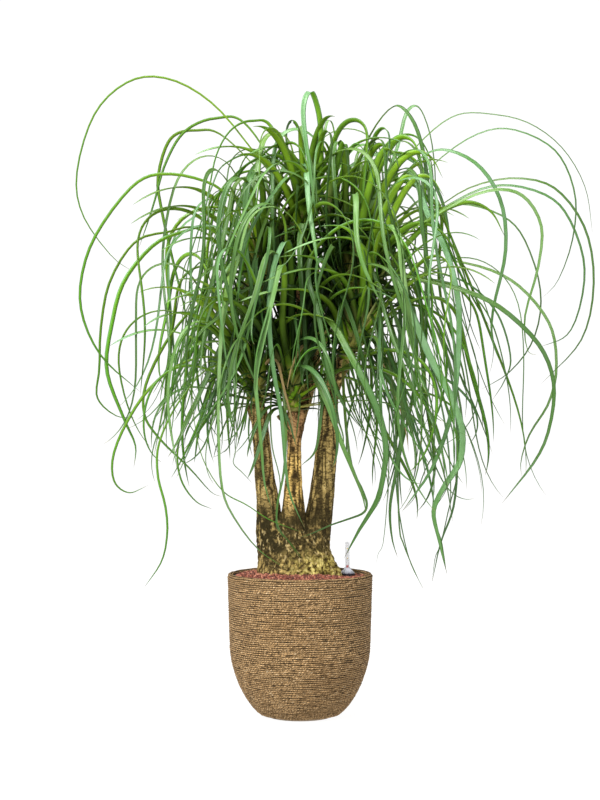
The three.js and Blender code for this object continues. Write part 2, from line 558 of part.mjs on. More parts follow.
// A free leaf leaves its shoot at a launch angle that steepens up the shoot, holds it along a stiff
// stretch, bends over smoothly and hangs. It wanders from side to side and its thin end may curl.
function freeLeaf(crown, index, draw, attempt) {
  const share = (index + 0.5) / LEAVES_PER_CROWN;
  const chance = Array.from({ length: LEAF_DRAWS }, draw);
  const turn = tweak(attempt) * 4;
  const azimuth = rad(index * GOLDEN_ANGLE + crown.seed * 31 + 16 * (chance[0] - 0.5) + turn);
  const launch = rad(-6 + 88 * share ** 0.8 + 14 * (chance[1] - 0.5) + 1.5 * (attempt % 3));
  const stiff = 60 + 190 * share + 90 * chance[2];
  const bend = 210 + 230 * chance[3];
  const hang = rad(-60 - 32 * chance[4]);
  const sway = rad(80 * (chance[5] - 0.5));
  const curl = rad(150 * (chance[6] - 0.45));
  const wander = 0.1 + 0.3 * chance[10];
  const phase = 2 * Math.PI * chance[11];
  const longest = 620 + 560 * chance[7];
  const reach = 0.6 + 0.4 * chance[7];
  const width = (7 + 10 * chance[8] * (0.4 + 0.6 * share)) * (1.15 - 0.4 * chance[7]);
  const twist = rad(170 * (chance[9] - 0.5));
  const outward = vec(Math.cos(azimuth), Math.sin(azimuth), 0);
  const sideways = vec(-outward.y, outward.x, 0);
  const root = shootPoint(crown, 0.08 + 0.88 * share).addScaledVector(outward, 4);
  const step = 10;
  const walk = (length, curled, tight) => {
    const points = [root.clone()];
    for (let s = step / 2; s < length; s += step) {
      const over = Math.max(0, Math.min(1, (s / tight - stiff) / bend));
      const end = curled ? Math.max(0, (s / length - 0.7) / 0.3) : 0;
      const pitch = launch + (hang - launch) * over * over * (3 - 2 * over) + curl * end * end;
      const heading = azimuth + sway * (s / longest) ** 2;
      points.push(points.at(-1).clone().add(vec(
        step * Math.cos(pitch) * Math.cos(heading),
        step * Math.cos(pitch) * Math.sin(heading),
        step * Math.sin(pitch),
      )));
      const drift = step * wander * Math.sin(s / 80 + phase) * Math.min(1, s / 350);
      points.at(-1).addScaledVector(sideways, drift);
    }
    return points;
  };
  const tight = [1, 0.85, 0.7, 0.56, 0.44, 0.34]
    .find((f) => walk(longest, false, f).every((p) => withinCrown(p, reach))) ?? 0.26;
  const full = walk(longest, false, tight);
  const low = full.findIndex((p, i) => i > 20 && p.z < fringeHeight(p, chance[2], crown));
  const length = low < 0 ? longest : low * step;
  return { spine: walk(length, true, tight), facing: outward, width, twist, segments: FREE_SEGMENTS };
}

// The blade is widest in its lower half and runs out to a fine point.
const bladeWidth = (t) => (1 - t ** 3.4) * (1 - 0.25 * Math.exp(-t / 0.05));

// Stations along the spine, closer together where it turns.
function stations(spine, count) {
  const reach = [0];
  for (let i = 1; i < spine.length; i++) {
    const step = spine[i].clone().sub(spine[i - 1]);
    const before = spine[i - 1].clone().sub(spine[Math.max(0, i - 2)]);
    const bend = before.lengthSq() > 0 ? step.angleTo(before) : 0;
    reach.push(reach[i - 1] + bend + step.length() / 260);
  }
  const total = reach.at(-1);
  const picked = [];
  for (let k = 0; k < count; k++) picked.push(reach.findIndex((r) => r >= (k / count) * total));
  return [...new Set(picked)];
}

// A flat blade with a keel under it, turned about its spine by its twist: three corners at each station
// and a point at the tip. Its top is split along the same diagonal as its underside, so that it keeps
// its thickness. A station whose corners would fold back past those of the last one is left out.
function bladeSolid({ spine, facing, width, twist, segments }, extra = 0, skip = 0) {
  const lengths = [0];
  for (let i = 1; i < spine.length; i++) lengths.push(lengths[i - 1] + spine[i].distanceTo(spine[i - 1]));
  const total = lengths.at(-1);
  const level = vec(-facing.y, facing.x, 0);
  let rings = [];
  const picked = [];
  for (const i of stations(spine, segments)) {
    const t = lengths[i] / total;
    const [after, prior] = [spine[Math.min(spine.length - 1, i + 1)], spine[Math.max(0, i - 1)]];
    const along = after.clone().sub(prior).normalize();
    const flat = level.clone().sub(along.clone().multiplyScalar(level.dot(along))).normalize();
    flat.applyAxisAngle(along, twist);
    const under = flat.clone().cross(along);
    const half = (width * bladeWidth(t)) / 2 + extra;
    const keel = 0.9 + 0.8 * bladeWidth(t) + extra;
    const ring = [
      spine[i].clone().addScaledVector(flat, -half).addScaledVector(under, -0.3 - extra),
      spine[i].clone().addScaledVector(under, keel),
      spine[i].clone().addScaledVector(flat, half).addScaledVector(under, -0.3 - extra),
    ];
    const before = rings.at(-1);
    const chord = before ? spine[i].clone().sub(spine[picked[rings.length - 1]]) : along;
    const onward = (from, to) => to.clone().sub(from).dot(chord) > FOLD_GUARD * chord.lengthSq();
    const folds = before && !ring.every((corner, c) => onward(before[c], corner));
    if (folds || !ring.every((corner) => spine.at(-1).clone().sub(corner).lengthSq() > 4)) {
      continue;
    }
    rings.push(ring);
    picked[rings.length - 1] = i;
  }
  picked.length = rings.length;
  const first = picked.findIndex((i) => lengths[i] > skip);
  if (first < 1) return null;
  const [from, to] = [lengths[picked[first - 1]], lengths[picked[first]]];
  const share = (skip - from) / (to - from);
  const opening = rings[first - 1].map((p, i) => p.clone().lerp(rings[first][i], share));
  rings = [opening, ...rings.slice(first)];
  const end = spine.at(-1).clone().sub(spine.at(-2)).normalize();
  const solid = solidOf(loft(rings, spine.at(-1).clone().addScaledVector(end, extra), true));
  return solid;
}

function shootSolid(crown) {
  const shoot = new THREE.CylinderGeometry(CORE_TOP_RADIUS, CORE_FOOT_RADIUS, CORE_LENGTH, 7, 1);
  shoot.translate(0, CORE_LENGTH / 2, 0);
  shoot.applyQuaternion(new THREE.Quaternion().setFromUnitVectors(vec(0, 1, 0), crown.along));
  shoot.translate(...crown.foot.toArray());
  return solidOf(shoot);
}

function meets(a, b) {
  const shared = a.intersect(b);
  const met = shared.volume() > 0;
  shared.delete();
  return met;
}

// Leaves that cross can shut in a small pocket of air or shed a sliver. Only the crown itself is kept.
function crownOnly(solid) {
  const bodies = solid.decompose();
  if (bodies.length === 1) return solid;
  return bodies.reduce((largest, body) => (body.volume() > largest.volume() ? body : largest));
}

// Grows every crown in turns. A leaf that would meet another crown, the trunk or the planter is bent
// clear by the next try; one that meets only its own crown is kept if no try is clear of that too.
function growCrowns(trunk, obstacles) {
  const names = Object.keys(CROWNS);
  const grown = Object.fromEntries(names.map((name) => [name, shootSolid(CROWNS[name])]));
  const place = (name, leafAt) => {
    const others = [trunk, ...obstacles, ...names.filter((n) => n !== name).map((n) => grown[n])];
    let spare = null;
    for (let attempt = 0; attempt < TRIES; attempt++) {
      const leaf = leafAt(attempt);
      const swept = bladeSolid(leaf, CLEARANCE).add(bladeSolid(leaf));
      const blocked = others.some((other) => meets(other, swept));
      swept.delete();
      if (blocked) continue;
      const outer = bladeSolid(leaf, CLEARANCE, ROOT_ZONE);
      const crossing = outer && meets(grown[name], outer);
      outer?.delete();
      if (!crossing) {
        spare = leaf;
        break;
      }
      spare ??= leaf;
    }
    if (!spare) return;
    grown[name] = crownOnly(grown[name].add(bladeSolid(spare)));
  };
  TRACED.forEach((row) => place(row[0], (attempt) => tracedLeaf(row, attempt)));
  const streams = Object.fromEntries(names.map((name) => [name, draws(CROWNS[name].seed)]));
  for (let index = 0; index < LEAVES_PER_CROWN; index++) {
    for (const name of names) {
      const chances = Array.from({ length: LEAF_DRAWS }, streams[name]);
      place(name, (attempt) => {
        let next = 0;
        return freeLeaf(CROWNS[name], index, () => chances[next++], attempt);
      });
    }
  }
  return grown;
}

const plant = new THREE.Group();
const trunk = trunkSolid();
const rope = solidOf(ropeWrap());
const gauge = gaugeParts();
for (const piece of Object.values(gauge)) atGauge(piece);
const granules = granuleLayer();

plant.add(meshOf('planter_shell', planterShell(), COLOURS.shell));
plant.add(meshOf('rope_wrap', ropeWrap(), COLOURS.rope, 0.95));
plant.add(meshOf('liner', linerCup(), COLOURS.liner, 0.6));
plant.add(meshOf('root_ball', geometryOf(rootBall()), COLOURS.soil, 1));
plant.add(meshOf('granules', geometryOf(granules), COLOURS.granules, 0.95));
plant.add(meshOf('trunk', geometryOf(trunk), COLOURS.bark, 0.95));
plant.add(meshOf('gauge_guide', gauge.guide, COLOURS.float, 0.5));
plant.add(meshOf('gauge_collar', gauge.collar, COLOURS.collar, 0.3, 0.2));
plant.add(meshOf('gauge_sight', gauge.sight, COLOURS.clear, 0.1));
plant.add(meshOf('gauge_float', gauge.float, COLOURS.float, 0.6));
plant.add(meshOf('gauge_tip', gauge.tip, COLOURS.red, 0.4));
const crowns = growCrowns(trunk, [rope, granules, solidOf(gauge.sight), solidOf(gauge.collar)]);
for (const [name, solid] of Object.entries(crowns)) {
  plant.add(meshOf('crown_' + name, geometryOf(solid), COLOURS.leaf, 0.55));
}

export default plant;
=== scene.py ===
"""Ponytail palm in a rope-wound planter: the fine surfaces, finishes, light and camera.

Lengths are in millimetres until a mesh is written, which turns them into metres. The origin is the
centre of the planter's base, +Z is up and the front of the plant looks along -Y.
"""

import math

import bpy
import numpy as np
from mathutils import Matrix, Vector, kdtree


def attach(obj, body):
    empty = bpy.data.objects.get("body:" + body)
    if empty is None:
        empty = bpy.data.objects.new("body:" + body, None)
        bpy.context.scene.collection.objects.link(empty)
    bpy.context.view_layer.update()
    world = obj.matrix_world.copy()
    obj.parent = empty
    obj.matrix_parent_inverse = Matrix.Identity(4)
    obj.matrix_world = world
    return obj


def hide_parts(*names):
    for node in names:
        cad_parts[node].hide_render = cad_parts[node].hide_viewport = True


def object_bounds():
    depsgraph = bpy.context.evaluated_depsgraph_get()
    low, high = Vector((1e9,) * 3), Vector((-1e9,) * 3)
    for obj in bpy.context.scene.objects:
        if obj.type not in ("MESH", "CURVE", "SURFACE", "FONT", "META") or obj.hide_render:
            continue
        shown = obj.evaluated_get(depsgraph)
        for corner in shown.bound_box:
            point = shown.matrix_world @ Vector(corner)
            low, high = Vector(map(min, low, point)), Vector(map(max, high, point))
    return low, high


bl_info = {
    "name": "Potted Ponytail Palm",
    "version": (1, 0, 0),
    "blender": (4, 5, 0),
    "location": "3D View > Sidebar > Plant",
    "description": "Dresses a ponytail palm and its rope-wound planter",
    "category": "Object",
}

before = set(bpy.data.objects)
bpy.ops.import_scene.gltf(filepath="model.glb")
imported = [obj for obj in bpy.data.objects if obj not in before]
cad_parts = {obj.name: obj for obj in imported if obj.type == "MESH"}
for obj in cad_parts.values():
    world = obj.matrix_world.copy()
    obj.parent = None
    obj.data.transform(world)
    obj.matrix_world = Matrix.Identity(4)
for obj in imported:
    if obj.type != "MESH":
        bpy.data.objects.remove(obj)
CAD_BOX = [list(corner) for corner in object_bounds()]

# Planter outline, as in the solid model.
BASE_RADIUS = 75
SHOULDER_HEIGHT = 150
SHOULDER_RADIUS = 155
RIM_RADIUS = 160
RIM_HEIGHT = 314
RIM_ROUNDING = 6.6
BELLY_POWER = 1.58
ROPE = 4.6
SEAT_GAP = 0.3
SHELL_WALL = 5
LINER_WALL = 1.5
LINER_TOP = 307

# Filling and gauge
GRANULES_AT_RIM = 303
GRANULES_AT_TRUNK = 317
GRANULE_FLOOR = 286
TRUNK_HOLE = (95, 70)
GAUGE_HOLE = 18.5
GAUGE_X = 105
GAUGE_Y = 30
GUIDE_TOP = 306
COLLAR_RADIUS = 16.9
COLLAR_TOP = 323
COLLAR_BORE = 10.1
SIGHT_FOOT = 315
SIGHT_TOP = 380
SIGHT_RADIUS = 5.5
SIGHT_BORE = 4.0
TIP_FOOT = 319
TIP_TOP = 328
TIP_RADIUS = 2.8
MARK_HEIGHTS = {"low": 344.0, "high": 365.0}

# Foliage rules, as in the solid model, and the place and lens of the camera.
VIEW_DISTANCE = 3900
EYE_HEIGHT = 694
LENS = 79.8
LEAVES_PER_CROWN = 23
LEAF_DRAWS = 12
CORE_LENGTH = 92
CORE_FOOT_RADIUS = 11
CORE_TOP_RADIUS = 8
GOLDEN_ANGLE = 137.50776
TWIST_LENGTH = 0.4
TRIES = 26
REACH_CENTRE = np.array([70, 0, 800])
REACH_HALF = np.array([565, 455, 520])
MATCH_DISTANCE = 0.0002

# Leaves that only this file has. A crown's share of the fillers is 1 unless it is listed. A young leaf
# shows the colours of only this share of a grown one, from its base. Some short and narrow ones are straw.
FILLER_SHARE = {"top": 0.4, "left": 1.5, "left_rear": 1.2, "right_low": 0.75}
FILLER_CURL = 0.6
YOUNG = 0.35
GROWN = 1.0
BROAD_LEAF = 13
STRAW_WIDTH = 10
STRAW_HEIGHT = 860
STRAW_CHANCE = 0.08

# Stems and branches: rows of x, y, z and radius.
STEMS = {
    "left": [(-58, 2, 340, 34), (-64, 2, 385, 33), (-67, 0, 430, 29), (-71, -2, 474, 25),
             (-78, -5, 530, 22), (-83, -7, 584, 19.5), (-88, -8, 640, 18), (-91, -8, 676, 18)],
    "middle": [(-14, -24, 340, 36), (-14, -22, 385, 34), (-14, -20, 430, 29), (-14, -20, 470, 24),
               (-14, -22, 520, 18.5), (-13, -22, 584, 15.5), (-13, -22, 640, 15.5), (-13, -24, 664, 17)],
    "right": [(34, 4, 340, 36), (35, 4, 385, 33), (40, 4, 430, 31), (46, 4, 470, 28), (53, 5, 529, 26),
              (58, 6, 584, 24), (63, 6, 650, 20.5), (67, 6, 716, 18), (74, 4, 750, 17), (80, 0, 770, 17)],
}
BRANCHES = {
    "left_rear": [(-84, 0, 630, 13), (-92, 26, 690, 13), (-98, 48, 770, 12.5), (-92, 60, 850, 12.5),
                  (-86, 62, 900, 13)],
    "rear": [(-10, -8, 600, 12), (0, 30, 650, 13), (18, 70, 710, 13), (30, 92, 770, 13), (34, 98, 800, 13)],
    "top": [(-12, -12, 610, 12), (-16, 10, 680, 12.5), (-8, 24, 780, 12.5), (2, 28, 900, 12.5),
            (8, 28, 1040, 13)],
    "right_high": [(72, 8, 710, 14), (92, 24, 780, 13.5), (102, 30, 850, 13), (108, 32, 905, 13)],
    "right_low": [(74, -2, 735, 14), (90, -22, 760, 14), (99, -34, 778, 14)],
}
STUBS = [
    [(-14, -22, 618, 12), (-28, -27, 640, 9), (-40, -29, 654, 7.5), (-46, -30, 662, 6.5)],
    [(-12, -22, 630, 12), (0, -27, 655, 9), (6, -29, 672, 7.5)],
    [(-90, -8, 640, 13), (-104, -12, 664, 10), (-112, -14, 682, 8)],
]
# The foot: rows of height, centre x and y, half width and half depth.
FOOT_ROWS = [
    (232, -4, -2, 44, 34), (262, -3, -2, 76, 60), (292, -4, -3, 92, 72), (317, -5.5, -3, 93.5, 70),
    (330, -7, -2, 90, 65), (348, -11.5, -1, 84.5, 61), (376, -15, 0, 78, 54), (404, -15, 0, 70, 42),
    (432, -15, -2, 52, 26),
]
CROWN_BEARERS = {
    "front": (STEMS["middle"], 3),
    "left": (STEMS["left"], 5),
    "left_rear": (BRANCHES["left_rear"], 8),
    "top": (BRANCHES["top"], 13),
    "right_high": (BRANCHES["right_high"], 21),
    "right_low": (BRANCHES["right_low"], 34),
    "rear": (BRANCHES["rear"], 55),
}

# Leaves that stand out: crown, widest width, twist in degrees, and the points that the leaf passes,
# each as (across, up, depth) seen from the front.
TRACED_LEAVES = [
    ["top", 7, 60, [[-100, 1238, -20], [-190, 1344, -40], [-284, 1399, -60], [-371, 1397, -70],
      [-449, 1328, -70], [-490, 1200, -60], [-479, 1104, -50], [-414, 1010, -40], [-359, 972, -30]]],
    ["top", 9, 90, [[-135, 1132, -60], [-198, 1171, -90], [-282, 1191, -110], [-355, 1175, -120],
      [-430, 1088, -120], [-473, 998, -115], [-482, 896, -110], [-438, 792, -100], [-347, 708, -90]]],
    ["top", 12, 40, [[-57, 1285, -5], [-104, 1308, -25], [-150, 1290, -45], [-183, 1237, -60],
      [-200, 1160, -70], [-215, 1080, -80], [-231, 997, -85]]],
    ["top", 8, 80, [[-112, 1293, 50], [-183, 1314, 60], [-253, 1285, 60], [-296, 1214, 50],
      [-323, 1121, 40], [-355, 1026, 30]]],
    ["top", 9, 70, [[-156, 1265, 90], [-229, 1287, 110], [-285, 1268, 120], [-312, 1185, 125],
      [-304, 1110, 125], [-277, 990, 120], [-253, 892, 110], [-242, 815, 100]]],
    ["top", 14, 30, [[-90, 1226, -50], [-166, 1214, -110], [-196, 1160, -135], [-218, 1088, -150],
      [-243, 1010, -155], [-253, 940, -160], [-253, 880, -160]]],
    ["top", 17, 20, [[-18, 1185, -60], [-64, 1142, -115], [-96, 1092, -140], [-120, 1040, -155],
      [-132, 980, -165], [-136, 905, -170]]],
    ["top", 12, 50, [[-40, 1246, -20], [-90, 1228, -70], [-137, 1196, -95], [-170, 1150, -105],
      [-190, 1090, -110]]],
    ["left_rear", 10, 60, [[-214, 1066, 40], [-293, 1063, 20], [-363, 1041, 5], [-418, 955, -5],
      [-438, 853, -10], [-441, 765, -15], [-446, 700, -20], [-406, 660, -20], [-360, 655, -20]]],
    ["left_rear", 13, 90, [[-190, 1066, -10], [-262, 1062, -40], [-324, 1033, -60], [-387, 955, -75],
      [-414, 860, -85], [-425, 760, -90], [-389, 657, -90], [-362, 594, -90], [-366, 543, -90]]],
    ["left_rear", 8, 120, [[-200, 915, 60], [-275, 850, 60], [-335, 740, 50], [-343, 665, 45],
      [-310, 610, 40], [-242, 543, 35], [-196, 492, 30], [-168, 481, 30]]],
    ["left", 8, 110, [[-176, 786, -50], [-259, 775, -80], [-330, 720, -95], [-381, 645, -105],
      [-411, 570, -110], [-408, 514, -110], [-375, 490, -105], [-332, 508, -100]]],
    ["left", 10, 80, [[-187, 770, -100], [-264, 694, -135], [-309, 602, -150], [-313, 530, -155],
      [-296, 460, -160], [-292, 400, -160], [-305, 338, -160], [-347, 276, -160]]],
    ["left", 8, 60, [[-187, 745, -20], [-245, 665, -35], [-269, 586, -45], [-262, 520, -50],
      [-230, 472, -50], [-190, 453, -50]]],
    ["left_rear", 15, 35, [[-115, 1000, -20], [-150, 985, -90], [-166, 906, -130], [-174, 830, -145],
      [-179, 730, -150], [-179, 598, -155], [-170, 493, -155], [-142, 430, -150], [-90, 363, -140],
      [-23, 318, -125]]],
    ["front", 8, 30, [[-37, 740, -90], [-31, 640, -125], [-35, 540, -130], [-50, 463, -128],
      [-48, 415, -122], [-18, 375, -114], [15, 332, -106]]],
    ["front", 15, 12, [[7, 914, -52], [13, 1035, -60], [7, 1084, -82], [-1, 1037, -105], [3, 953, -122],
      [9, 870, -132], [14, 770, -138], [19, 698, -140]]],
    ["front", 17, 25, [[-18, 860, -70], [-20, 1002, -86], [-32, 1044, -112], [-55, 998, -140],
      [-67, 925, -160], [-67, 841, -170], [-57, 750, -176], [-41, 662, -178], [-33, 562, -172],
      [-22, 486, -160], [13, 406, -145]]],
    ["front", 16, 30, [[-38, 848, -85], [-34, 960, -108], [-42, 992, -135], [-59, 925, -180],
      [-76, 850, -205], [-97, 745, -220], [-92, 668, -222], [-84, 579, -218], [-78, 510, -208],
      [-59, 445, -195]]],
    ["front", 14, 35, [[12, 848, -66], [22, 968, -80], [24, 1010, -108], [18, 960, -140],
      [37, 897, -160], [50, 830, -172], [62, 760, -180], [92, 690, -186], [132, 633, -188]]],
    ["front", 13, 45, [[20, 870, -50], [28, 975, -56], [44, 1010, -78], [68, 970, -104],
      [93, 925, -120], [115, 869, -132], [132, 810, -142], [150, 725, -150], [167, 639, -155]]],
    ["front", 13, 50, [[14, 790, -90], [32, 745, -128], [62, 681, -150], [92, 598, -165],
      [113, 547, -170], [137, 486, -172], [145, 445, -172]]],
    ["front", 17, 60, [[40, 870, -100], [76, 855, -150], [104, 805, -185], [138, 742, -205],
      [172, 668, -218], [188, 600, -222], [186, 545, -220], [170, 475, -212], [130, 408, -198],
      [96, 344, -185]]],
    ["right_high", 18, 70, [[165, 962, -70], [235, 900, -150], [286, 788, -185], [330, 705, -195],
      [356, 630, -200], [352, 560, -200], [318, 505, -195], [294, 451, -190], [305, 390, -188],
      [324, 308, -185]]],
    ["right_high", 5, 50, [[170, 1130, 70], [245, 1240, 80], [337, 1318, 80], [430, 1322, 70],
      [510, 1300, 60], [580, 1245, 50], [628, 1160, 40], [644, 1055, 30]]],
    ["right_high", 6, 60, [[190, 1100, -10], [285, 1205, -30], [379, 1274, -45], [463, 1290, -50],
      [560, 1244, -55], [604, 1150, -55], [600, 1050, -55], [568, 958, -50], [530, 916, -50]]],
    ["right_high", 7, 70, [[176, 1045, -50], [295, 1114, -85], [375, 1162, -95], [470, 1182, -100],
      [560, 1160, -100], [627, 1071, -95], [646, 950, -90], [619, 827, -80], [528, 727, -70]]],
    ["right_high", 8, 80, [[198, 1050, 45], [303, 1110, 55], [404, 1160, 60], [490, 1162, 60],
      [572, 1122, 60], [620, 1021, 60], [622, 930, 58], [590, 840, 55], [522, 809, 50]]],
    ["right_high", 9, 90, [[187, 1024, -90], [290, 1097, -135], [404, 1152, -155], [484, 1147, -160],
      [530, 1080, -160], [524, 987, -160], [495, 880, -155], [500, 805, -150], [526, 792, -148]]],
    ["right_high", 9, 60, [[210, 1065, 100], [290, 1108, 130], [370, 1124, 140], [467, 1084, 140],
      [515, 995, 140], [530, 905, 135], [510, 820, 130], [459, 754, 125], [396, 716, 120]]],
    ["right_high", 12, 90, [[190, 970, -110], [295, 952, -165], [391, 924, -185], [463, 880, -190],
      [530, 809, -190], [558, 730, -185], [550, 640, -180], [520, 565, -175], [442, 464, -165]]],
    ["right_high", 9, 100, [[264, 997, 80], [370, 994, 95], [471, 953, 100], [547, 865, 95],
      [564, 771, 90], [548, 690, 85], [505, 619, 80], [486, 560, 78], [488, 522, 78]]],
    ["right_high", 11, 60, [[165, 1110, -55], [245, 1210, -100], [310, 1245, -115], [390, 1212, -125],
      [442, 1130, -130], [452, 1020, -130], [425, 895, -128], [423, 826, -125], [446, 764, -120]]],
    ["right_high", 14, 30, [[112, 1060, 15], [124, 1189, 15], [156, 1281, 0], [206, 1341, -20],
      [245, 1314, -40], [270, 1245, -55], [284, 1147, -65], [297, 1040, -70], [312, 936, -72]]],
    ["right_high", 12, 40, [[150, 1080, 60], [211, 1240, 75], [234, 1325, 80], [262, 1338, 84],
      [286, 1282, 90], [297, 1205, 92], [299, 1123, 92], [303, 1024, 92]]],
    ["right_high", 16, 50, [[170, 1120, -20], [212, 1190, -60], [250, 1185, -95], [282, 1101, -115],
      [322, 1020, -128], [347, 920, -140], [350, 840, -145], [345, 750, -148], [330, 653, -150],
      [290, 543, -145], [223, 447, -135]]],
    ["right_low", 10, 70, [[165, 850, -70], [200, 790, -100], [222, 710, -110], [226, 630, -112],
      [212, 540, -110], [198, 460, -108], [202, 392, -104], [215, 346, -100]]],
    ["right_high", 9, 80, [[200, 945, 50], [270, 900, 70], [318, 800, 80], [341, 694, 82],
      [346, 570, 80], [338, 461, 76], [309, 379, 72], [290, 290, 70]]],
    ["right_high", 8, 60, [[235, 985, 150], [319, 936, 180], [366, 850, 190], [392, 755, 190],
      [385, 670, 185], [350, 618, 180], [307, 590, 175]]],
    ["right_high", 7, 60, [[225, 990, 5], [300, 975, -5], [374, 947, -10], [435, 882, -12],
      [463, 790, -12], [450, 737, -12], [421, 691, -12]]],
    ["rear", 6, 60, [[150, 880, 120], [186, 800, 130], [202, 690, 130], [208, 580, 125],
      [216, 460, 118], [240, 345, 110], [274, 274, 105]]],
    ["top", 14, 0, [[36, 1160, 2], [46, 1240, -6], [43, 1316, -24], [27, 1370, -54], [13, 1362, -88],
      [7, 1325, -108], [13, 1262, -124], [24, 1189, -134], [34, 1101, -140]]],
    ["right_high", 15, 16, [[98, 1040, -18], [101, 1120, -22], [98, 1220, -28], [85, 1264, -50],
      [73, 1240, -72], [74, 1189, -84], [80, 1120, -92], [86, 1050, -96], [92, 980, -100]]],
    ["top", 9, 20, [[30, 1180, 45], [50, 1262, 62], [60, 1306, 70], [72, 1300, 80], [80, 1245, 88],
      [86, 1160, 92]]],
    ["top", 10, 20, [[-14, 1190, 50], [-30, 1266, 66], [-24, 1303, 76], [-8, 1300, 88], [8, 1250, 98],
      [14, 1180, 102]]],
]

# Leaves that the solid model leaves out, in the same form: thin ones of the fringe, and broad ones that
# rise at the upper right and the top.
ADDED_LEAVES = [
    ["left", 6, 60, [[-190, 780, -110], [-232, 740, -135], [-237, 686, -142], [-224, 595, -148],
      [-200, 535, -150], [-165, 489, -150], [-117, 463, -148], [-66, 430, -146], [15, 399, -143]]],
    ["front", 6, 40, [[-50, 760, -60], [-64, 690, -85], [-62, 595, -95], [-44, 513, -98],
      [-53, 421, -98], [-24, 380, -96], [11, 329, -94]]],
    ["left", 7, 60, [[-110, 740, -60], [-135, 660, -75], [-143, 582, -80], [-147, 555, -80],
      [-128, 535, -80], [-103, 509, -78]]],
    ["front", 9, 50, [[30, 760, -60], [52, 730, -80], [48, 679, -85], [35, 586, -88], [2, 549, -88]]],
    ["right_high", 7, 60, [[200, 960, 60], [275, 930, 90], [332, 850, 100], [345, 775, 100], [341, 703, 98],
      [332, 652, 96], [312, 602, 94], [277, 544, 92], [253, 481, 90], [222, 447, 88]]],
    ["right_high", 7, 50, [[230, 930, -40], [300, 850, -60], [345, 720, -70], [359, 610, -75],
      [350, 553, -75], [319, 509, -75], [293, 452, -72], [299, 417, -72], [312, 379, -70],
      [323, 309, -70]]],
    ["right_high", 6, 70, [[240, 960, 110], [320, 850, 130], [345, 700, 135], [348, 548, 135],
      [328, 458, 132], [310, 379, 130], [297, 346, 128], [290, 285, 126]]],
    ["right_low", 7, 50, [[170, 860, 20], [214, 760, 30], [227, 645, 34], [218, 577, 34], [207, 526, 34],
      [198, 439, 34], [202, 392, 34], [216, 346, 32]]],
    ["right_low", 6, 40, [[150, 870, -60], [196, 780, -90], [212, 600, -100], [218, 421, -100],
      [227, 379, -100], [249, 324, -98], [273, 274, -96]]],
    ["right_low", 6, 40, [[140, 880, 50], [190, 740, 70], [196, 560, 72], [185, 392, 70], [172, 355, 70],
      [167, 329, 70]]],
    ["right_low", 7, 40, [[95, 760, -60], [100, 650, -90], [113, 550, -102], [137, 496, -106],
      [147, 465, -106], [138, 445, -106], [103, 431, -108], [70, 420, -108], [39, 406, -108],
      [12, 395, -106], [-5, 393, -104]]],
    ["right_high", 22, -45, [[127, 1061, 0], [146, 1129, -15], [169, 1197, -30], [197, 1250, -45],
      [222, 1272, -60], [250, 1262, -75], [268, 1220, -85], [276, 1160, -90]]],
    ["right_high", 21, -50, [[140, 1036, -20], [163, 1103, -45], [190, 1171, -65], [222, 1220, -80],
      [258, 1240, -92], [292, 1225, -100], [315, 1180, -105]]],
    ["right_high", 20, -50, [[150, 985, -45], [180, 1049, -85], [206, 1108, -105], [232, 1156, -115],
      [262, 1185, -122], [292, 1180, -126], [318, 1140, -130]]],
    ["right_high", 18, -45, [[169, 1002, -50], [207, 1049, -90], [240, 1076, -110], [275, 1082, -125],
      [313, 1063, -135], [340, 1026, -140], [356, 975, -142]]],
    ["right_high", 14, -70, [[182, 968, -60], [220, 1019, -100], [254, 1057, -115], [292, 1095, -122],
      [338, 1122, -128], [381, 1128, -130], [423, 1105, -132], [452, 1050, -132]]],
    ["right_high", 20, -40, [[118, 1068, 10], [132, 1138, 0], [144, 1200, -15], [158, 1240, -32],
      [178, 1256, -50], [196, 1240, -66], [204, 1196, -76]]],
    ["right_high", 22, -30, [[124, 1010, -30], [136, 1080, -62], [150, 1150, -84], [168, 1212, -100],
      [186, 1244, -114], [206, 1240, -126], [218, 1200, -134]]],
    ["right_high", 21, -30, [[138, 990, -40], [160, 1048, -76], [184, 1104, -100], [208, 1154, -118],
      [232, 1184, -130], [256, 1180, -140], [272, 1136, -146]]],
    ["top", 20, -20, [[52, 1090, -20], [66, 1150, -44], [80, 1210, -62], [92, 1252, -76], [100, 1258, -90],
      [106, 1226, -100], [108, 1170, -106]]],
    ["right_high", 10, -40, [[128, 1090, 20], [146, 1171, 16], [172, 1232, 8], [205, 1268, 0],
      [240, 1278, -8], [268, 1262, -14], [288, 1220, -20], [296, 1160, -24]]],
]


class PlantSizes(bpy.types.PropertyGroup):
    """Sizes and counts of the fine surfaces."""

    rope_thickness: bpy.props.FloatProperty(
        name="Rope Thickness", description="Thickness of the seagrass rope, in millimetres",
        default=ROPE, min=3.0, max=6.0)
    rope_steps: bpy.props.IntProperty(
        name="Rope Steps", description="Sections of rope in one turn round the planter",
        default=144, min=48, max=200)
    pebble_spacing: bpy.props.FloatProperty(
        name="Granule Spacing", description="Distance between neighbouring granules, in millimetres",
        default=5.7, min=5.0, max=12.0)
    bark_detail: bpy.props.FloatProperty(
        name="Bark Detail", description="Edge of the smallest facet of the bark, in millimetres",
        default=2.2, min=1.5, max=6.0)
    furrow_depth: bpy.props.FloatProperty(
        name="Furrow Depth", description="Depth of the furrows at the foot of the trunk, in millimetres",
        default=5.0, min=0.0, max=8.0)
    filler_leaves: bpy.props.IntProperty(
        name="Filler Leaves", description="Leaves added to each crown between those of the solid model",
        default=26, min=0, max=60)
    heart_leaves: bpy.props.IntProperty(
        name="Heart Leaves", description="Young upright leaves at the heart of each crown",
        default=15, min=0, max=30)
    blade_sections: bpy.props.IntProperty(
        name="Blade Sections", description="Cross-sections along one leaf", default=34, min=12, max=60)


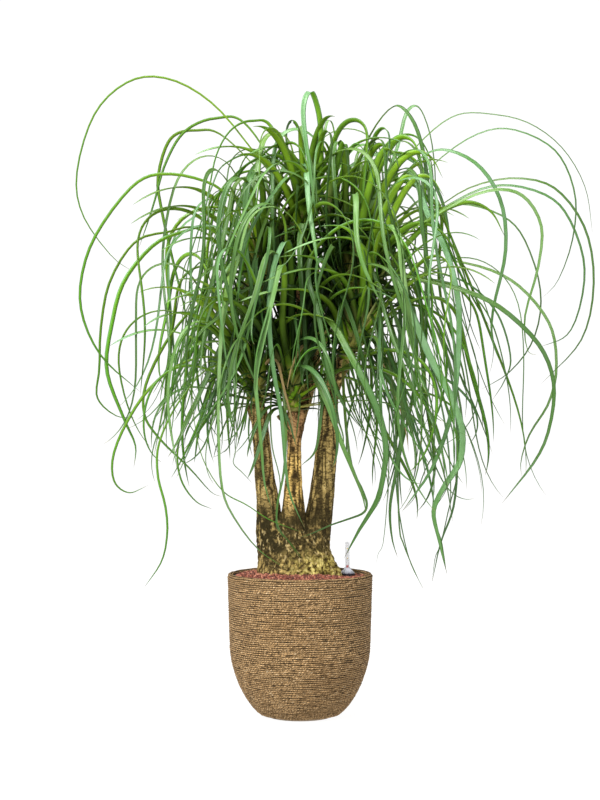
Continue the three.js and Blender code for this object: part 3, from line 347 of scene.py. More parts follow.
class PlantColours(bpy.types.PropertyGroup):
    """Colours of the finishes, as linear red, green and blue."""

    leaf_deep: bpy.props.FloatVectorProperty(
        name="Leaf", description="Outer length of a leaf", subtype="COLOR", default=(0.048, 0.155, 0.014))
    # Pale grey-green painted sheen on a leaf's upper face: it stands in for the reflection of the light.
    leaf_painted_sheen: bpy.props.FloatVectorProperty(
        name="Leaf Bloom", description="Bloomed patches of the upper face", subtype="COLOR",
        default=(0.21, 0.35, 0.205))
    leaf_fresh: bpy.props.FloatVectorProperty(
        name="Leaf Near Shoot", description="Inner length of a leaf", subtype="COLOR",
        default=(0.2, 0.39, 0.014))
    leaf_base: bpy.props.FloatVectorProperty(
        name="Leaf Base", description="Pale base where a leaf leaves the shoot", subtype="COLOR",
        default=(0.46, 0.44, 0.13))
    leaf_dry: bpy.props.FloatVectorProperty(
        name="Dry Leaf", description="Dried leaves and tips", subtype="COLOR", default=(0.5, 0.36, 0.15))
    bark: bpy.props.FloatVectorProperty(
        name="Bark", description="Ridges of the bark", subtype="COLOR", default=(0.41, 0.29, 0.1))
    bark_dark: bpy.props.FloatVectorProperty(
        name="Bark Furrows", description="Bottom of the furrows", subtype="COLOR",
        default=(0.028, 0.019, 0.008))
    rope: bpy.props.FloatVectorProperty(
        name="Rope", description="Dry seagrass", subtype="COLOR", default=(0.435, 0.268, 0.118))
    granule: bpy.props.FloatVectorProperty(
        name="Granules", description="Fired clay granules", subtype="COLOR", default=(0.15, 0.034, 0.019))


def draws(seed):
    """A repeatable stream of numbers from 0 to 1, the same as in the solid model."""
    state = seed
    while True:
        state = (1664525 * state + 1013904223) % 4294967296
        yield state / 4294967296


def smoothstep(t):
    """3t^2 - 2t^3, with t kept from 0 to 1."""
    t = np.clip(t, 0, 1)
    return t * t * (3 - 2 * t)


def unit(vectors):
    """Each row divided by its length."""
    return vectors / np.maximum(np.linalg.norm(vectors, axis=-1, keepdims=True), 1e-12)


def circle(steps):
    """Angles once round, in equal steps."""
    return np.arange(steps) / steps * 2 * np.pi


def run_along(points):
    """Length of the route from its first point to each of its points."""
    return np.concatenate([[0], np.cumsum(np.linalg.norm(np.diff(points, axis=0), axis=1))])


def lattice_corners(spots, smooth):
    """The corners of the lattice cell round each spot, one corner at a time, and the share of each: the
    product over x, y and z of the way across the cell, or of 1 less that way, eased where asked."""
    cell = np.floor(spots).astype(np.int64)
    way = smoothstep(spots - cell) if smooth else spots - cell
    for corner in range(8):
        step = np.array([corner & 1, corner >> 1 & 1, corner >> 2 & 1])
        yield cell + step, np.prod(np.where(step, way, 1 - way), axis=1)


def lattice_noise(points, scale, seed):
    """Values from 0 to 1: a random number at each corner of a lattice whose cells measure `scale` along
    x, y and z, eased from corner to corner by 3t^2 - 2t^3."""
    total = np.zeros(len(points))
    for corner, share in lattice_corners(points / np.asarray(scale, float) + 1000, True):
        x, y, z = corner.T
        mixed = (x * 73856093) ^ (y * 19349663) ^ (z * 83492791) ^ (seed * 2654435761)
        mixed = (mixed ^ (mixed >> 13)) * 1274126177 & 0x7FFFFFFF
        total += share * ((mixed ^ (mixed >> 16)) & 0xFFFF) / 65535
    return total


def curve_through(points, per_span):
    """Uniform Catmull-Rom curve through rows of numbers: between two rows each column is the cubic whose
    end slopes are half the difference of the neighbouring rows."""
    rows = np.asarray(points, float)
    rows = np.vstack([2 * rows[0] - rows[1], rows, 2 * rows[-1] - rows[-2]])
    t = (np.arange(per_span) / per_span)[None, :, None]
    a, b, c, d = (rows[i:len(rows) - 3 + i][:, None, :] for i in range(4))
    spans = 0.5 * ((-t**3 + 2 * t**2 - t) * a + (3 * t**3 - 5 * t**2 + 2) * b
                   + (-3 * t**3 + 4 * t**2 + t) * c + (t**3 - t**2) * d)
    return np.vstack([spans.reshape(-1, rows.shape[1]), rows[-2]])


def ring_faces(rings, sides, start=0):
    """Quads of a skin over rings of equal count, each ring closed on itself."""
    r, s = np.meshgrid(np.arange(rings - 1), np.arange(sides), indexing="ij")
    a = start + r * sides + s
    b = start + r * sides + (s + 1) % sides
    return np.stack([a, b, b + sides, a + sides], axis=-1).reshape(-1, 4)


def fan_faces(first, sides, centre, facing_up):
    """Triangles from one ring to the point that closes it."""
    s = np.arange(sides)
    a, b = first + s, first + (s + 1) % sides
    order = [a, b, np.full(sides, centre)] if facing_up else [b, a, np.full(sides, centre)]
    return np.stack(order, axis=-1)


def skin_faces(rings, sides, start=0, turned_over=False):
    """Quads of a skin over rings, and the fans that close its first and its last ring. The middle points
    of those two rings follow the rings, in that order."""
    end = start + rings * sides
    quads = ring_faces(rings, sides, start)
    return [quads[:, ::-1] if turned_over else quads,
            fan_faces(start, sides, end, turned_over),
            fan_faces(end - sides, sides, end + 1, not turned_over)]


def stacked(skins):
    """The faces of many skins as two groups: all the quads, then all the triangles."""
    return [np.vstack([quads for quads, *fans in skins]),
            np.vstack([fan for quads, *fans in skins for fan in fans])]


def write_mesh(name, points, faces, values=None):
    """A mesh object at the origin from points in millimetres, groups of faces and numbers by point."""
    mesh = bpy.data.meshes.new(name)
    mesh.vertices.add(len(points))
    mesh.vertices.foreach_set("co", (np.asarray(points) * 0.001).astype(np.float32).ravel())
    corners = np.concatenate([group.ravel() for group in faces]).astype(np.int32)
    sizes = np.concatenate([np.full(len(group), group.shape[1]) for group in faces])
    starts = np.concatenate([[0], np.cumsum(sizes)[:-1]]).astype(np.int32)
    mesh.loops.add(len(corners))
    mesh.loops.foreach_set("vertex_index", corners)
    mesh.polygons.add(len(sizes))
    mesh.polygons.foreach_set("loop_start", starts)
    mesh.update(calc_edges=True)
    mesh.shade_smooth()
    for label, numbers in (values or {}).items():
        layer = mesh.attributes.new(label, "FLOAT", "POINT")
        layer.data.foreach_set("value", np.asarray(numbers, np.float32))
    piece = bpy.data.objects.new(name, mesh)
    bpy.context.scene.collection.objects.link(piece)
    return piece


def paint(piece, finish):
    """Makes the finish the piece's only one."""
    piece.data.materials.clear()
    piece.data.materials.append(finish)


def dress(piece, finish, body="plant", replaced=()):
    """Gives a new piece its finish and its body, and hides the nodes that it stands in for."""
    paint(piece, finish)
    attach(piece, body)
    if replaced:
        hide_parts(*replaced)


def turned(name, profile, steps, centre=(0, 0)):
    """A surface of revolution: the point at angle a of a profile row (r, z) is (r cos a, r sin a, z),
    moved to the centre. The profile is closed on itself or starts and ends on the axis."""
    rows = np.asarray(profile, float)
    angles = circle(steps)
    on_axis = rows[0, 0] < 1e-6
    inner = rows[1:-1] if on_axis else rows
    r, z = inner[:, :1], inner[:, 1:]
    grid = np.stack([r * np.cos(angles), r * np.sin(angles), z + 0 * angles], axis=-1)
    points = grid.reshape(-1, 3)
    if on_axis:
        faces = skin_faces(len(inner), steps)
        points = np.vstack([points, [0, 0, rows[0, 1]], [0, 0, rows[-1, 1]]])
    else:
        faces = [ring_faces(len(inner) + 1, steps) % len(points)]
    return write_mesh(name, points + [centre[0], centre[1], 0], faces)


def rounded(profile, radius, cuts=4):
    """Each inner corner of an open profile is cut into a short arc: points of the quadratic curve from
    `radius` before the corner to `radius` after it."""
    rows = np.asarray(profile, float)
    made = [rows[0]]
    for before, corner, after in zip(rows[:-2], rows[1:-1], rows[2:]):
        reach = min(radius, 0.45 * np.linalg.norm(corner - before), 0.45 * np.linalg.norm(after - corner))
        a = corner + reach * unit(before - corner)
        b = corner + reach * unit(after - corner)
        for t in np.linspace(0, 1, cuts):
            made.append((1 - t) ** 2 * a + 2 * t * (1 - t) * corner + t * t * b)
    made.append(rows[-1])
    return made


# Planter outline
def outside_radius(z):
    """Straight flare above the shoulder; below it, a superellipse quarter."""
    z = np.asarray(z, float)
    climb = (z - SHOULDER_HEIGHT) / (RIM_HEIGHT - SHOULDER_HEIGHT)
    flare = SHOULDER_RADIUS + (RIM_RADIUS - SHOULDER_RADIUS) * climb
    drop = np.clip((SHOULDER_HEIGHT - z) / SHOULDER_HEIGHT, 0, 1)
    belly = BASE_RADIUS + (SHOULDER_RADIUS - BASE_RADIUS) * (1 - drop**BELLY_POWER) ** (1 / BELLY_POWER)
    return np.where(z >= SHOULDER_HEIGHT, flare, belly)


def shell_outside(z):
    """The outline less the rope."""
    return outside_radius(z) - ROPE - SEAT_GAP


def liner_inside(z):
    """The shell less its own wall and the liner's."""
    return shell_outside(z) - SHELL_WALL - SEAT_GAP - LINER_WALL


class Wire:
    """A shader value. The arithmetic signs add Math nodes to the finish that it belongs to."""

    def __init__(self, finish, socket):
        self.finish = finish
        self.socket = socket

    def _with(self, operation, *others):
        """A Math node of this value and the others."""
        sockets = dict(enumerate((self, *others)))
        return self.finish.node("ShaderNodeMath", {"operation": operation}, sockets)

    def __add__(self, other):
        return self._with("ADD", other)

    def __sub__(self, other):
        return self._with("SUBTRACT", other)

    def __mul__(self, other):
        return self._with("MULTIPLY", other)

    __radd__ = __add__
    __rmul__ = __mul__

    def __rsub__(self, other):
        return self.finish.node("ShaderNodeMath", {"operation": "SUBTRACT"}, {0: other, 1: self})

    def wave(self):
        """Its sine."""
        return self._with("SINE")

    def size(self):
        """Its size without its sign."""
        return self._with("ABSOLUTE")

    def within(self, low, high):
        """0 at or below `low`, 1 at or above `high`, straight between."""
        return self.finish.node("ShaderNodeMapRange", {"clamp": True}, {"Value": self, 1: low, 2: high})


class Finish:
    """A material with one Principled shader, built node by node."""

    def __init__(self, name):
        self.material = bpy.data.materials.new(name)
        self.material.use_nodes = True
        self.tree = self.material.node_tree
        self.shader = self.tree.nodes["Principled BSDF"]

    def node(self, kind, settings=None, sockets=None, output=0):
        """A node of any kind: its settings first, then its sockets' values or links. Returns one output."""
        made = self.tree.nodes.new(kind)
        for key, value in (settings or {}).items():
            if key == "stops":
                while len(made.color_ramp.elements) < len(value):
                    made.color_ramp.elements.new(1)
                for stop, (place, colour) in zip(made.color_ramp.elements, value):
                    stop.position = place
                    stop.color = (*colour, 1)
            else:
                setattr(made, key, value)
        for key, value in (sockets or {}).items():
            self.feed(made.inputs[key], value)
        return Wire(self, made.outputs[output])

    def feed(self, socket, value):
        """Links a shader value to a socket, or puts a constant straight on it."""
        if isinstance(value, Wire):
            self.tree.links.new(value.socket, socket)
        elif isinstance(value, (tuple, list)) and socket.type == "RGBA" and len(value) == 3:
            socket.default_value = (*value, 1)
        else:
            socket.default_value = value

    def set(self, **sockets):
        """Feeds the shader's sockets, an underscore standing for a space. Returns the material."""
        for key, value in sockets.items():
            self.feed(self.shader.inputs[key.replace("_", " ")], value)
        return self.material

    def place(self):
        """The object's own coordinates, in metres."""
        return self.node("ShaderNodeTexCoord", output="Object")

    def number(self, label):
        """The numbers by point that write_mesh stored under this label."""
        return self.node("ShaderNodeAttribute", {"attribute_name": label}, output="Fac")

    def noise(self, scale, stretch=(1, 1, 1), detail=3.0, where=None):
        """Noise whose cells are 1 / (scale * stretch) long in x, y and z."""
        spot = self.node("ShaderNodeMapping", {}, {"Vector": where or self.place(), "Scale": stretch})
        return self.node("ShaderNodeTexNoise", {}, {"Vector": spot, "Scale": scale, "Detail": detail})

    def mix(self, share, low, high, blend="MIX"):
        """Two colours mixed by a share from 0 to 1."""
        return self.node("ShaderNodeMix", {"data_type": "RGBA", "blend_type": blend},
                         {"Factor": share, 6: low, 7: high}, output=2)

    def ramp(self, value, stops):
        """Straight from colour to colour between the stops (place, colour)."""
        return self.node("ShaderNodeValToRGB", {"stops": stops}, {"Fac": value})

    def spot(self, x, y, z):
        """A place from three numbers."""
        return self.node("ShaderNodeCombineXYZ", {}, {"X": x, "Y": y, "Z": z})

    def bump(self, height, distance, strength=1.0):
        """A normal that leans as the height changes."""
        return self.node("ShaderNodeBump", {},
                         {"Height": height, "Distance": distance, "Strength": strength})


def scaled(colour, share):
    """Each channel times the share."""
    return tuple(channel * share for channel in colour)


def leaf_finish(colours):
    """Straps with a pale base and fresh green near the shoot. Further out the upper face carries a pale
    grey-green painted sheen in patches where the sky reaches it, and the lower face a yellower green that
    is painted light shining through the leaf. Where little sky reaches, leaves are painted darker and their
    coat
    weakened: painted shade. Fine lengthwise veins, a lighter rib and a tan tip."""
    f = Finish("Strap leaf")
    along, across, under, tint, dry, outer = (
        f.number(n) for n in ("along", "across", "under", "tint", "dry", "outer"))
    patch = f.noise(22.0, detail=2.0)
    place = along + (patch - 0.5) * 0.12 + (tint - 0.5) * 0.2
    upper = f.ramp(place, [
        (0.0, tuple(colours.leaf_base)), (0.025, scaled(colours.leaf_base, 0.8)),
        (0.07, scaled(colours.leaf_fresh, 0.8)), (0.2, scaled(colours.leaf_fresh, 0.6)),
        (0.45, tuple(colours.leaf_deep)), (1.0, scaled(colours.leaf_deep, 0.72))])
    # Painted sheen: in patches along the first bend, and only where the sky reaches (outer), the upper face
    # turns pale grey-green in place of a reflection of the light.
    painted_sheen = (patch.within(0.3, 0.6) * 0.5 + 0.4) * along.within(0.1, 0.35) * outer * (tint * 0.7 + 0.3)
    painted_sheen = painted_sheen * (1 - along.within(0.45, 0.85) * 0.75)
    upper = f.mix(painted_sheen * 0.85, upper, tuple(colours.leaf_painted_sheen))
    # Painted light: the lower face's yellower green further out stands in for light shining through the
    # leaf.
    lower_lit_through = f.ramp(place, [
        (0.0, tuple(colours.leaf_base)), (0.03, scaled(colours.leaf_base, 0.8)),
        (0.08, scaled(colours.leaf_fresh, 0.9)), (0.35, scaled(colours.leaf_fresh, 0.8)),
        (0.7, (0.075, 0.23, 0.008)), (1.0, (0.04, 0.125, 0.006))])
    green = f.mix(under, upper, lower_lit_through)
    green = f.mix(1.0, green, f.mix(tint, (0.48, 0.54, 0.46), (1.38, 1.34, 1.24)), "MULTIPLY")
    hue = (tint * 37.0).wave() * 0.5 + 0.5
    green = f.mix(1.0, green, f.mix(hue, (0.9, 0.97, 1.1), (1.16, 1.05, 0.85)), "MULTIPLY")
    veins = (across * 25.0).wave() * 0.5 + 0.5
    green = f.mix(veins * 0.12, green, (0.17, 0.33, 0.06))
    rib = 1 - across.size().within(0.0, 0.1)
    green = f.mix(rib * 0.2, green, (0.2, 0.34, 0.07))
    # Painted shade: where little sky reaches a leaf (low outer), it is darkened almost to black beyond its
    # base.
    green = f.mix((1 - outer) * along.within(0.03, 0.12) * 0.94, green, (0.002, 0.011, 0.0005))
    tip = along.within(0.97, 0.998) * 0.7
    straw = f.mix(patch, tuple(colours.leaf_dry), scaled(colours.leaf_dry, 0.55))
    colour = f.mix(tip, green, straw)
    colour = f.mix(dry, colour, straw)
    # The coat grows weaker where little sky reaches (low outer): painted shade on the reflection.
    return f.set(Base_Color=colour, Roughness=0.4 + patch * 0.2 + dry * 0.3,
                 Coat_Weight=outer * (1 - under * 0.75) * (patch * 0.6 + 0.2),
                 Normal=f.bump(veins + rib, 0.0002, 0.25),
                 Specular_IOR_Level=0.1, Coat_Roughness=0.3)


def rope_finish(colours):
    """Two twisted plies: the light turns with the angle round the rope plus its length over the pitch.
    The groove between the plies and the sides where one turn meets the next are darkened: painted shade.
    """
    f = Finish("Seagrass rope")
    length, cosine, sine, tint = (f.number(n) for n in ("length", "cosine", "sine", "tint"))
    angle = f.node("ShaderNodeMath", {"operation": "ARCTAN2"}, {0: sine, 1: cosine})
    twist = angle + length * (2 * math.pi / 13.0)
    plies = (twist * 2.0).wave() * 0.5 + 0.5
    strands = (twist * 9.0 + length * 0.35).wave() * 0.5 + 0.5
    straw = f.noise(1.0, detail=1.0, where=f.spot(length * 0.085 + angle * 0.3, angle * 0.45, tint * 140.0))
    fine = f.noise(1.0, detail=2.0, where=f.spot(length * 0.34 + angle * 0.6, angle * 2.6, tint * 61.0))
    broad = f.noise(9.0, detail=3.0)
    colour = f.ramp(straw * 0.72 + fine * 0.28, [
        (0.33, scaled(colours.rope, 0.1)), (0.42, scaled(colours.rope, 0.5)), (0.5, tuple(colours.rope)),
        (0.57, scaled(colours.rope, 1.6)), (0.66, (0.75, 0.57, 0.35))])
    # Painted shade in the groove between the two plies.
    colour = f.mix((1 - plies) * 0.5, colour, scaled(colours.rope, 0.28))
    colour = f.mix(broad.within(0.42, 0.68) * 0.3, colour, (0.2, 0.11, 0.04))
    # Painted shade: the sides of the rope where one turn meets the next are darkened almost to black.
    gap = sine.size().within(0.4, 0.9) * (0.5 + fine.within(0.4, 0.56) * 0.5)
    colour = f.mix(gap * 0.97, colour, scaled(colours.rope, 0.04))
    return f.set(Base_Color=colour, Roughness=0.85, Specular_IOR_Level=0.2,
                 Normal=f.bump(plies + strands * 0.3 + fine * 0.6, 0.0013, 1.0))


def bark_finish(colours):
    """Corky bark: upright furrows whose ridges are cracked across into small plates, wrinkled and dark
    where the stems join, mossy low on the right. The left stem is darkened low down, painted shade, and the
    middle stem in front is lightened higher up, painted light."""
    f = Finish("Corky bark")
    relief = f.number("relief")
    broad = f.noise(11.0, (1, 1, 0.45), 3.0)
    grain = f.noise(330.0, (1, 1, 0.6), 3.0)
    x, height = (f.node("ShaderNodeSeparateXYZ", {}, {0: f.place()}, output=axis) for axis in ("X", "Z"))
    height = height + (broad - 0.5) * 0.07
    low = height.within(0.46, 0.4)
    crack = 1 - (f.noise(1.0, (75, 75, 170), 2.0) - 0.5).size().within(0.0, 0.045)
    wrinkle = 1 - (f.noise(1.0, (85, 85, 60), 2.0) - 0.5).size().within(0.0, 0.06)
    split = crack * (1 - low) * 1.1 + wrinkle * low
    depth = relief * 0.62 + grain * 0.32 + broad * 0.1 - split * 0.2
    colour = f.ramp(depth, [
        (0.28, tuple(colours.bark_dark)), (0.42, scaled(colours.bark, 0.3)),
        (0.54, scaled(colours.bark, 0.85)), (0.66, scaled(colours.bark, 1.35)),
        (0.85, (0.78, 0.62, 0.31))])
    colour = f.mix(broad.within(0.42, 0.68) * 0.35, colour, (0.11, 0.078, 0.026))
    fine = f.noise(95.0, (1, 1, 0.8), 5.0)
    ridge = 1 - fine.within(0.5, 0.62) * 0.75
    colour = f.mix(crack * (1 - low) * 0.55, colour, scaled(colours.bark_dark, 1.5))
    # Darker in a band where the stems join the foot; the extra darkening of the left stem low down is
    # painted shade.
    dark = height.within(0.5, 0.43) * height.within(0.335, 0.375) * 0.85 + x.within(-0.01, -0.06) * 0.2
    colour = f.mix(dark * height.within(0.6, 0.45) * ridge, colour, (0.03, 0.023, 0.008))
    moss = height.within(0.372, 0.338) * (x + (broad - 0.5) * 0.08).within(-0.05, 0.03)
    specks = f.ramp(fine + wrinkle * -0.1, [
        (0.34, (0.03, 0.02, 0.006)), (0.43, (0.13, 0.095, 0.022)), (0.51, (0.38, 0.3, 0.075)),
        (0.63, (0.66, 0.55, 0.19))])
    colour = f.mix(moss * 0.9, colour, specks)
    flakes = f.noise(1.0, (120, 120, 75), 2.0).within(0.6, 0.66) * height.within(0.43, 0.4)
    colour = f.mix(flakes * 0.7, colour, (0.5, 0.38, 0.17))
    # Painted light: the middle stem, in front, is lightened above about 0.42 m.
    middle = 1 - (x + 0.013).size().within(0.02, 0.03)
    above = middle * height.within(0.42, 0.5) * 0.8
    colour = f.mix(above, colour, f.mix(1.0, colour, (1.6, 1.45, 1.25), "MULTIPLY"))
    ruddy = middle * height.within(0.56, 0.62) * depth.within(0.3, 0.5)
    colour = f.mix(ruddy * 0.6, colour, (0.36, 0.17, 0.1))
    return f.set(Base_Color=colour, Roughness=0.88, Specular_IOR_Level=0.08,
                 Normal=f.bump(depth, 0.0045, 1.0))


def granule_finish(colours, name="Clay granules", shade=1.0):
    """Porous fired clay, each granule with its own tone. A shade below 1 darkens every colour: painted
    shade, for the layer seen in the gaps between the granules.
    """
    f = Finish(name)
    tint = f.number("tint")
    pores = f.noise(900.0, detail=2.0)
    blotch = f.noise(160.0, detail=2.0)
    colour = f.ramp(tint * 0.6 + blotch * 0.4, [
        (0.15, scaled(colours.granule, 0.3 * shade)), (0.42, scaled(colours.granule, shade)),
        (0.62, scaled((0.29, 0.08, 0.042), shade)), (0.85, scaled((0.56, 0.25, 0.15), shade))])
    colour = f.mix(pores.within(0.6, 0.75) * 0.6, colour, scaled(colours.granule, 0.3 * shade))
    return f.set(Base_Color=colour, Roughness=0.62, Normal=f.bump(pores, 0.0004, 0.6))


def soil_finish():
    """Dark crumbs, lighter where they stand out."""
    f = Finish("Potting soil")
    crumbs = f.noise(240.0, detail=4.0)
    colour = f.ramp(crumbs, [
        (0.3, (0.02, 0.012, 0.008)), (0.55, (0.07, 0.042, 0.025)), (0.75, (0.15, 0.1, 0.06))])
    return f.set(Base_Color=colour, Roughness=0.95, Normal=f.bump(crumbs, 0.003))


def moulded_finish(name, colour, roughness, grain=600.0, depth=0.00008, coat=0.0):
    """Moulded plastic with a faint grain and slight unevenness of tone."""
    f = Finish(name)
    speckle = f.noise(grain, detail=2.0)
    uneven = f.noise(14.0, detail=2.0)
    tone = f.mix(uneven, scaled(colour, 0.88), scaled(colour, 1.08))
    return f.set(Base_Color=tone, Roughness=roughness + speckle * 0.08, Coat_Weight=coat,
                 Normal=f.bump(speckle, depth, 0.6))


def collar_finish():
    """Grey plastic of the gauge's collar, darker towards its foot and paler at its top: painted shade and
    painted light.
    """
    f = Finish("Grey collar")
    height = f.node("ShaderNodeSeparateXYZ", {}, {0: f.place()}, output="Z")
    uneven = f.noise(14.0, detail=2.0)
    # Painted shade and painted light: dark at the collar's foot, pale towards its top.
    colour = f.ramp((height - 0.3095) * 110.0 + (uneven - 0.5) * 0.1, [
        (0.0, (0.1, 0.095, 0.12)), (0.35, (0.3, 0.3, 0.35)), (0.65, (0.52, 0.53, 0.6)),
        (1.0, (0.6, 0.61, 0.68))])
    return f.set(Base_Color=colour, Roughness=0.26 + uneven * 0.06, Coat_Weight=0.3)


def clear_finish():
    """Glossy and mostly see-through, with a faint haze."""
    f = Finish("Clear acrylic")
    haze = f.noise(60.0, detail=2.0)
    return f.set(Base_Color=(0.5, 0.5, 0.52), Roughness=0.25 + haze * 0.06, Alpha=0.2, Coat_Weight=0.6)


def floor_finish():
    """A floor lit from within, so that only a faint shadow shows on it."""
    f = Finish("Light table")
    wear = f.noise(3.0, detail=2.0)
    return f.set(Base_Color=f.mix(wear, (0.1, 0.1, 0.1), (0.13, 0.13, 0.13)), Roughness=0.9,
                 Emission_Color=(1, 1, 1), Emission_Strength=0.94)


class PONYTAIL_OT_wind_rope(bpy.types.Operator):
    """Winds the rope round the planter: one long helix whose centre climbs the planter's outline by one
    rope thickness a turn, over the rim and down inside it"""

    bl_idname = "ponytail.wind_rope"
    bl_label = "Wind Rope"

    def execute(self, context):
        sizes = context.scene.plant_sizes
        half = sizes.rope_thickness / 2
        low = np.concatenate([np.linspace(4.0, 20, 12), np.linspace(22, SHOULDER_HEIGHT, 26), [200, 300]])
        outline = np.column_stack([outside_radius(low), low])
        rim_centre = np.array([RIM_RADIUS - RIM_ROUNDING, RIM_HEIGHT - RIM_ROUNDING])
        bend = np.linspace(0, np.pi, 14)
        rim = rim_centre + RIM_ROUNDING * np.column_stack([np.cos(bend), np.sin(bend)])
        outline = np.vstack([outline, rim, rim[-1] - [0.3, 1.2]])
        slope = np.gradient(outline, axis=0)
        inward = unit(np.column_stack([-slope[:, 1], slope[:, 0]]))
        centres = outline + inward * half
        reach = run_along(centres)
        pitch = sizes.rope_thickness * 0.985
        turns = reach[-1] / pitch
        count = int(turns * sizes.rope_steps)
        turn = np.linspace(0, turns, count)
        angle = 2 * np.pi * turn
        spots = np.column_stack([np.cos(angle) * 6, np.sin(angle) * 6, turn * 0.7])
        wander = (lattice_noise(spots, (1, 1, 1), 5) - 0.5) * 2.2
        s = turn * pitch + wander
        r, z = (np.interp(s, reach, centres[:, i]) for i in range(2))
        nr, nz = (np.interp(s, reach, inward[:, i]) for i in range(2))
        out = np.column_stack([np.cos(angle), np.sin(angle)])
        spine = np.column_stack([r[:, None] * out, z])
        outward = unit(np.column_stack([-nr[:, None] * out, -nz]))
        along = unit(np.gradient(spine, axis=0))
        beside = np.cross(along, outward)
        length = run_along(spine)
        lumps = lattice_noise(np.column_stack([length, 0 * length, 0 * length]), (14, 1, 1), 9)
        radius = half * (0.98 + 0.34 * (lumps - 0.5))
        sides = 6
        cosine, sine = np.cos(circle(sides)), np.sin(circle(sides))
        section = cosine[None, :, None] * outward[:, None, :] + sine[None, :, None] * beside[:, None, :]
        points = (spine[:, None, :] + radius[:, None, None] * section).reshape(-1, 3)
        points = np.vstack([points, spine[0], spine[-1]])
        by_turn = lattice_noise(np.column_stack([length / 90, turn * 0, turn * 0]), (1, 1, 1), 3)

        def spread(numbers):
            """Each section's number at all its corners, and the first and last at the two ends."""
            return np.concatenate([np.repeat(numbers, sides), numbers[[0, -1]]])

        piece = write_mesh("rope_winding", points, skin_faces(count, sides, turned_over=True), {
            "length": spread(length),
            "cosine": np.concatenate([np.tile(cosine, count), [1, 1]]),
            "sine": np.concatenate([np.tile(sine, count), [0, 0]]),
            "tint": spread(by_turn)})
        dress(piece, rope_finish(context.scene.plant_colours), replaced=("rope_wrap",))
        return {"FINISHED"}


class PONYTAIL_OT_line_planter(bpy.types.Operator):
    """Finishes the moulded shell, the dark liner and the soil"""

    bl_idname = "ponytail.line_planter"
    bl_label = "Line Planter"

    def execute(self, context):
        heights = np.array([28, 54, 84, 116, SHOULDER_HEIGHT, LINER_TOP])
        outside = [(shell_outside(z) - SHELL_WALL - SEAT_GAP, z) for z in heights]
        inside = [(liner_inside(z), z) for z in heights[::-1]]
        foot = shell_outside(10.0) - SHELL_WALL - SEAT_GAP - 1
        profile = [(0, 10.3), (foot, 10.3), *outside, *inside, (foot - 2, 11.8), (0, 11.8)]
        liner = turned("liner_cup", profile, 96)
        dark = moulded_finish("Dark liner", (0.035, 0.04, 0.043), 0.42)
        dress(liner, dark, replaced=("liner",))
        tan = moulded_finish("Moulded shell", (0.2, 0.14, 0.075), 0.7, 220.0, 0.0004)
        paint(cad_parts["planter_shell"], tan)
        paint(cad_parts["root_ball"], soil_finish())
        return {"FINISHED"}


def granule_level(x, y, rim):
    """Height of the granules: it climbs from the rim towards the trunk, is heaped up at the front and
    sides, and dips round the gauge and in front of it"""
    share = np.clip((1 - np.hypot(x, y) / rim) / 0.62, 0, 1) ** (1 / 1.4)
    at_rim = GRANULES_AT_RIM - 6 * (1 + np.tanh((y - 40) / 35))
    at_trunk = GRANULES_AT_TRUNK - 3
    level = at_trunk - (at_trunk - at_rim) * (1 - share) ** 3
    from_gauge = np.hypot(x - GAUGE_X, (y - GAUGE_Y) * np.where(y < GAUGE_Y, 0.55, 1))
    return np.minimum(level, GUIDE_TOP - 4.2 + 0.2 * np.maximum(0, from_gauge - COLLAR_RADIUS))


